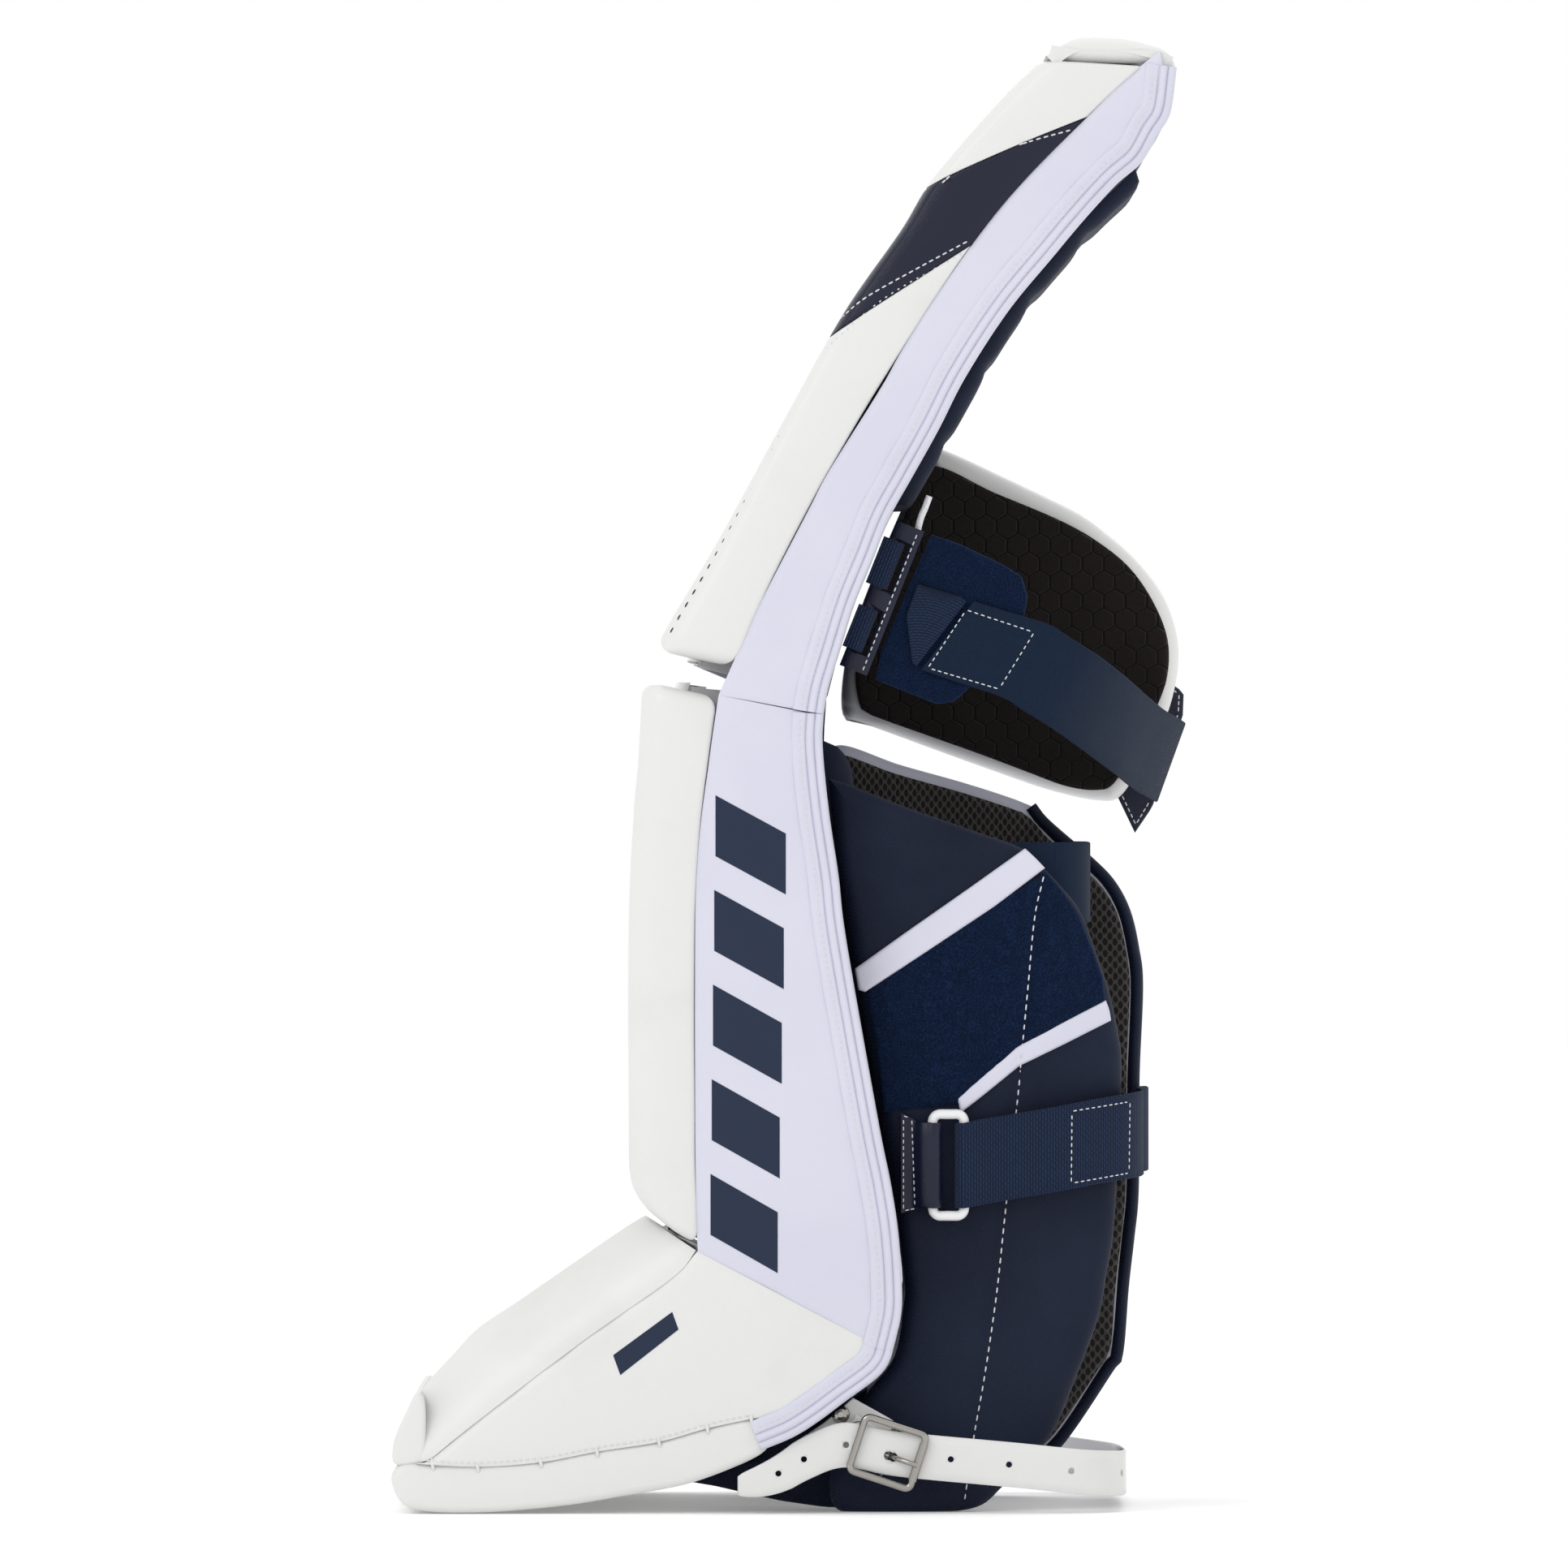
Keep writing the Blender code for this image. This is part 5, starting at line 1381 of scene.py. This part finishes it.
box_stitch("calf_webbing_stitches", [(124.5, 178.4), (150.6, 182.4), (150.2, 150.6), (124.2, 146.4)], web,
           -1, "webbing_strap")
strap("calf_webbing_far", [(157, 1, 168), (157, 40, 168), (160.4, 56, 168), (160.4, 72, 167),
                           (150, 86, 165.6), (128, 95, 163),
                           (100, 97.2, 160), (70, 96.4, 157)], (0, 0, 1), 38.0, 1.5, WEBBING, "inner_wrap",
                           "calf_strap_far")

# ---- Knee flap -----------------------------------------------------------------------------------
# A brushed loop pad on a navy leather strip hangs in two webbing loops at the knee. The elastic knee
# strap is sewn to it and runs behind the knee; a white lace end shows at the strip's top.
AXIS_LOW = np.array([23.5, -112.0, 376.0])
RUN = np.array([25.5, 0.0, 64.0]) / math.hypot(25.5, 64.0)
PERP = np.array([RUN[2], 0.0, -RUN[0]])


def flap_point(back, run, out=0.0):
    """A point by its distance behind the flap's hinge line, along the line, and outward."""
    return AXIS_LOW + PERP * back + RUN * run + np.array([0.0, -1.0, 0.0]) * out


LACE_THICK = 3.0
LACE_ROUTE = [tuple(flap_point(8.3, run, -3.0)) for run in np.linspace(38, 63, 12)] \
    + [(57, -109.2, 441.6), (59, -109.6, 446.6), (61, -110, 452)]
lace_line = through(LACE_ROUTE, 1.0)
lace_curve = bpy.data.curves.new("knee_lace", 'CURVE')
lace_curve.dimensions = '3D'
lace_curve.bevel_depth = LACE_THICK / 2 * MM
lace_curve.bevel_resolution = 4
lace_curve.use_fill_caps = True
lace_spline = lace_curve.splines.new('POLY')
lace_spline.points.add(len(lace_line) - 1)
for spot, place in zip(lace_spline.points, lace_line):
    spot.co = (*(place * MM), 1)
LACE = Finish("white_lace", (0.70, 0.70, 0.72), 0.7, {"Sheen Weight": 0.2})
LACE.bump(LACE.cells(LACE.place(), 0.9, 'F1'), 0.35)
lace_curve.materials.append(LACE.material)
lace = bpy.data.objects.new("knee_lace", lace_curve)
bpy.context.scene.collection.objects.link(lace)
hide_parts("knee_flap_lace")
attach(lace, "flap")
lace_length = float(np.linalg.norm(np.diff(lace_line, axis=0), axis=1).sum() * MM)

SLOTS = ((8.5, 28.5), (38.5, 60.5))
STRIP_EDGE = 0.45
STRIP_OUTLINE = [(-2.6, -1.2 + STRIP_EDGE), (-2.6, 1.2 - STRIP_EDGE), (-2.6 + STRIP_EDGE, 1.2),
                 (10.6 - STRIP_EDGE, 1.2), (10.6, 1.2 - STRIP_EDGE), (10.6, -1.2 + STRIP_EDGE),
                 (10.6 - STRIP_EDGE, -1.2), (-2.6 + STRIP_EDGE, -1.2)]
SLOT_OUTLINE = [(2.6, -3), (6.6, -3), (6.6, 3), (2.6, 3)]
strip = skinned("knee_leather_strip", [[flap_point(back, run, out) for back, out in STRIP_OUTLINE]
                                       for run in np.linspace(0, 69, 30)])
slot_cutters = []
for low, high in SLOTS:
    slot_cutters.append(skinned("slot", [[flap_point(back, run, out) for back, out in SLOT_OUTLINE]
                                         for run in (low - 0.7, high + 0.7)]))
drilled(strip, slot_cutters)
strip.data.materials.append(NAVY_LEATHER)
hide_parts("knee_flap_strip")
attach(strip, "flap")
LOOP_RADIUS = 4.05
for label, (low, high), reach in (("lower", SLOTS[0], 4.6), ("upper", SLOTS[1], 5.4)):
    middle = (low + high) / 2
    turns = [math.radians(90 - 180 * k / 12) for k in range(13)]
    route = [flap_point(-reach, middle, LOOP_RADIUS)]
    route += [flap_point(LOOP_RADIUS * math.cos(t), middle, LOOP_RADIUS * math.sin(t)) for t in turns]
    route += [flap_point(-reach, middle, -LOOP_RADIUS)]
    strap("knee_loop_" + label, route, RUN, high - low, 1.3, WEBBING, "thigh_section",
          "knee_flap_loop_" + label, step=0.7)

FLAP_PAD = [(40, 384.5), (62, 435), (74, 431), (93, 422), (102, 416.5), (105, 407.5), (103, 398), (88, 377),
            (77, 365),
            (72, 360.6), (64, 359.6), (37, 370.4)]
flap_pad = plate("knee_loop_pad", FLAP_PAD, level(-110.3), level(-106.4), 2.0, FUZZ, "flap",
                 rows=70, columns=60, wave=0.1, wavelength=5.0, smooth_outline=False)
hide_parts("knee_flap_pad")
PULL_TAB = [(50.7, 399), (56, 413), (78.4, 406.1), (55.4, 376.4), (53.4, 377.6)]
pull_tab = plate("knee_pull_tab", PULL_TAB, level(-112.3), level(-110.8), 0.6, WEBBING, "flap",
                 rows=24, columns=24, smooth_outline=False)
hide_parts("knee_strap_pull_tab")
knee_line = [(69.1, -111.6, 390.0), (86, -111.8, 384.5), (103.6, -111.6, 378.8), (113, -110.4, 373),
             (126, -101, 365),
             (140, -76, 355), (152, -38, 346), (161, 10, 339.6), (168.4, 56, 336), (172.4, 94, 334)]
knee_elastic = strap("knee_elastic_strap", knee_line, [(0.61, 0, 0.79), (0.34, 0, 0.94)], 38.6, 1.6, ELASTIC,
                     None,
                     turned_by=0.5)
box_stitch("knee_strap_stitches", [(77.4, 401.4), (107.6, 391.4), (92.0, 366.2), (60.4, 375.6)],
           knee_elastic, -1,
                            "flap")
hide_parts("knee_strap_patch", "knee_strap")
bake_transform(knee_elastic)
strip_stitch_line = [flap_point(7.9, run, 1.25) for run in np.linspace(1.5, 67.5, 20)]
sewn("knee_strip_stitches", [np.array(strip_stitch_line)], (0, -1, 0), pitch=3.1, long=2.1, thick=0.3,
     body="flap")

# ---- Knee block ----------------------------------------------------------------------------------
# The block cradles the knee's inner side: a white leather shell filled with foam, lined with soft
# dark cloth pressed in hexagons. The knee strap ends under a navy leather anchor sewn on its back.
BLOCK = [(23.4, 355), (34, 351.2), (86, 332.2), (118, 321.2), (141, 316.4), (151, 319.4), (162, 338),
         (170.8, 354), (176, 374),
         (176, 391), (169.6, 410), (157, 426.6), (143, 439), (129, 448.6), (97, 464), (66, 477.6),
         (60.8, 472), (46.8, 442), (31.4, 404),
         (24, 378)]
block = plate("knee_block_shell", BLOCK, level(97.9), level(123.5), 8.0, WHITE_LEATHER, "block",
              rows=80, columns=60, wave=0.35, wavelength=50.0, seed=4.0)
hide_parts("knee_block_pad")
HEX_EDGE = [(31.5, 358.5), (38.5, 354.5), (83, 338.6), (107, 329.6), (125, 323), (139, 321.2), (147, 324.4),
            (157, 341), (166.6, 359.5),
            (171.4, 374), (171.4, 390), (165.6, 405.6), (156, 420.4), (144, 431.4), (125, 443), (93, 456.6),
            (62, 469), (51, 445),
            (39, 417), (29.5, 380)]
hex_lining = plate("knee_block_hexagons", HEX_EDGE, level(95.3), level(98.4), 3.0, HEX_LINING, "block",
                   rows=70, columns=60, wave=0.35, wavelength=36.0, seed=5.0)
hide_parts("knee_block_lining")
ANCHOR_PATCH = [(140.4, 375), (172, 371.2), (179.4, 366), (179.0, 355.4), (165, 313.4), (157, 301.6),
                (147.2, 322), (135.4, 345)]
knee_anchor = plate("knee_block_anchor", ANCHOR_PATCH, level(124.3), level(126.1), 0.7, NAVY_LEATHER, "block",
                    rows=30, columns=24, smooth_outline=False)
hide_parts("knee_strap_anchor")
anchor_line = [(142.4, 372.8), (171.4, 369.2), (177.2, 365), (176.8, 356.4), (163.4, 315.6), (157.4, 305.4),
               (149.4, 322.4), (138, 344.6)]
for label, side in (("near", -1), ("far", 1)):
    box_stitch("knee_anchor_%s_stitches" % label, anchor_line, knee_anchor, side, "block",
               pitch=3.2, long=2.2, thick=0.3)

# ---- Boot strap ----------------------------------------------------------------------------------
# A 20 mm white leather strap turns on two rivets at the boot's back corners and loops behind the
# heel. A nickel centre-bar buckle closes it on the outer side; the rivets hold small leather tabs.
ANCHOR_TAB = [(3, 32.6), (14, 40), (27, 51.2), (46, 40.6), (38, 26), (16, 24)]
for label, side in (("outer", -1), ("inner", 1)):
    anchor = plate("boot_tab_" + label, ANCHOR_TAB, level(side * 114.15),
                   level(side * 112.65), 0.6, WHITE_LEATHER, "boot_section", rows=24,
                   columns=20,
                   smooth_outline=False)
    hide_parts("boot_anchor_" + label)
for node in ("boot_rivet", "boot_pivot_outer", "boot_pivot_inner"):
    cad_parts[node].material_slots[0].material = NICKEL
strap("boot_strap_end", [(25.6, -115.4, 39.6), (31, -115.4, 35.8), (38.6, -115.4, 30)], (0.59, 0, 0.81),
      11.0, 1.6, WHITE_LEATHER,
      "boot_strap_loop", "boot_strap_tab")
BUCKLE = np.array([42.4, -126.3, 27.2])
ALONG = np.array([0.951, 0.0, -0.309])
UPRIGHT = np.array([0.309, 0.0, 0.951])


def buckle_point(along, up, out=0.0):
    """A point by its distance along the buckle, up it, and outward."""
    return BUCKLE + ALONG * along + UPRIGHT * up + np.array([0.0, -1.0, 0.0]) * out


def boot_strap_width(share):
    """Tapered at its tongue, full along its run and narrowed at its far rivet."""
    tongue = 0.42 + 0.58 * min(1, share * 20) ** 0.7
    rivet_end = 1 if share < 0.92 else 1 - 0.38 * min(1, (share - 0.92) * 40)
    return 20.0 * tongue * rivet_end


STRAP_ROUTE = [(-24, -127.4, 12.6), (-15, -125.6, 14.6), (-6, -124.6, 18), (8, -123.8, 25.6),
               (23, -123.6, 30.6), (42.4, -123.2, 27.2),
               (60, -123.6, 25.2), (100, -125.2, 21.6), (128, -121, 18.6), (144, -106, 17.4), (148, -84, 17),
               (149, 0, 15),
               (148, 84, 13.4), (144, 106, 13.6), (128, 121, 15.4), (100, 124, 19), (72, 123, 23),
               (50, 121, 29), (38, 116.4, 33),
               (23.6, 115.3, 39.2)]
boot_belt = strap("boot_leather_strap", STRAP_ROUTE, (0, 0, 1), boot_strap_width, 1.8, WHITE_LEATHER, None,
                  "boot_strap", step=2.0)
belt_line = through(STRAP_ROUTE, 1.0)
HOLES = [-6.0, 5.0, 23.5, 70.7, 96.7, 123.5]
cutters = []
for back in HOLES:
    spot = min((p for p in belt_line if p[1] < -100), key=lambda p: abs(p[0] - back))
    cutters.append(pin_cutter(spot, (0, 1, 0), 1.35))
cutters.append(pin_cutter((145.6, -102, 17.4), (-0.9, 0.45, 0), 1.35))
for along in (3.0, 0.8):
    cutters.append(pin_cutter(buckle_point(along, -1.2, -3.1), (0, 1, 0), 2.0))
drilled(boot_belt, cutters)
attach(boot_belt, "boot_strap_loop")
frame_path = [buckle_point(a, u) for a, u in frame_line(14.2, 12.6, 2.6)]
rod("buckle_outer_frame", frame_path, 1.6, NICKEL, "boot_strap_loop", "buckle_frame", cycle=True,
    sides=20)
DEEP = -7.8
bar_line = [buckle_point(0, 12.6), buckle_point(0, 12.6, -3), buckle_point(0, 12.0, -5.6),
            buckle_point(0, 10.0, DEEP),
            buckle_point(0, 0, DEEP), buckle_point(0, -10.0, DEEP), buckle_point(0, -12.0, -5.6),
            buckle_point(0, -12.6, -3),
            buckle_point(0, -12.6)]
rod("buckle_centre_bar", through(bar_line, 1.0), 1.3, NICKEL, "boot_strap_loop")
rod("buckle_sleeve", [buckle_point(14.2, u) for u in np.linspace(-8.6, 8.6, 9)], 1.95, NICKEL,
    "boot_strap_loop", sides=24)
EYE = 2.65
prong_line = [buckle_point(-EYE * math.cos(t), -1.2, DEEP + EYE * math.sin(t))
              for t in np.radians(np.arange(-180, 121, 15))] \
    + [buckle_point(a, -1.2, o) for a, o in ((2.6, -3.6), (4, -1.7), (6.4, 0.8), (10, 2.6), (14.2, 2.9))]
rod("buckle_tongue", prong_line, 1.15, NICKEL, "prong", "buckle_prong")

SKIRT = [(-46, 12.4), (-41, 14), (-13, 24.8), (-10, 33), (7, 36), (20, 45), (34, 54), (34, 0.6), (15, 1),
         (-6, 4), (-35, 10.6)]
for label, side in (("outer", -1), ("inner", 1)):
    skirt = plate("heel_skirt_cloth_" + label, SKIRT, level(side * 78.0),
                  level(side * 72.0), 2.4, NAVY_NYLON, "boot_section", rows=40, columns=30,
                  wave=0.25, wavelength=30.0, smooth_outline=False)
    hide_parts("heel_skirt_" + label)
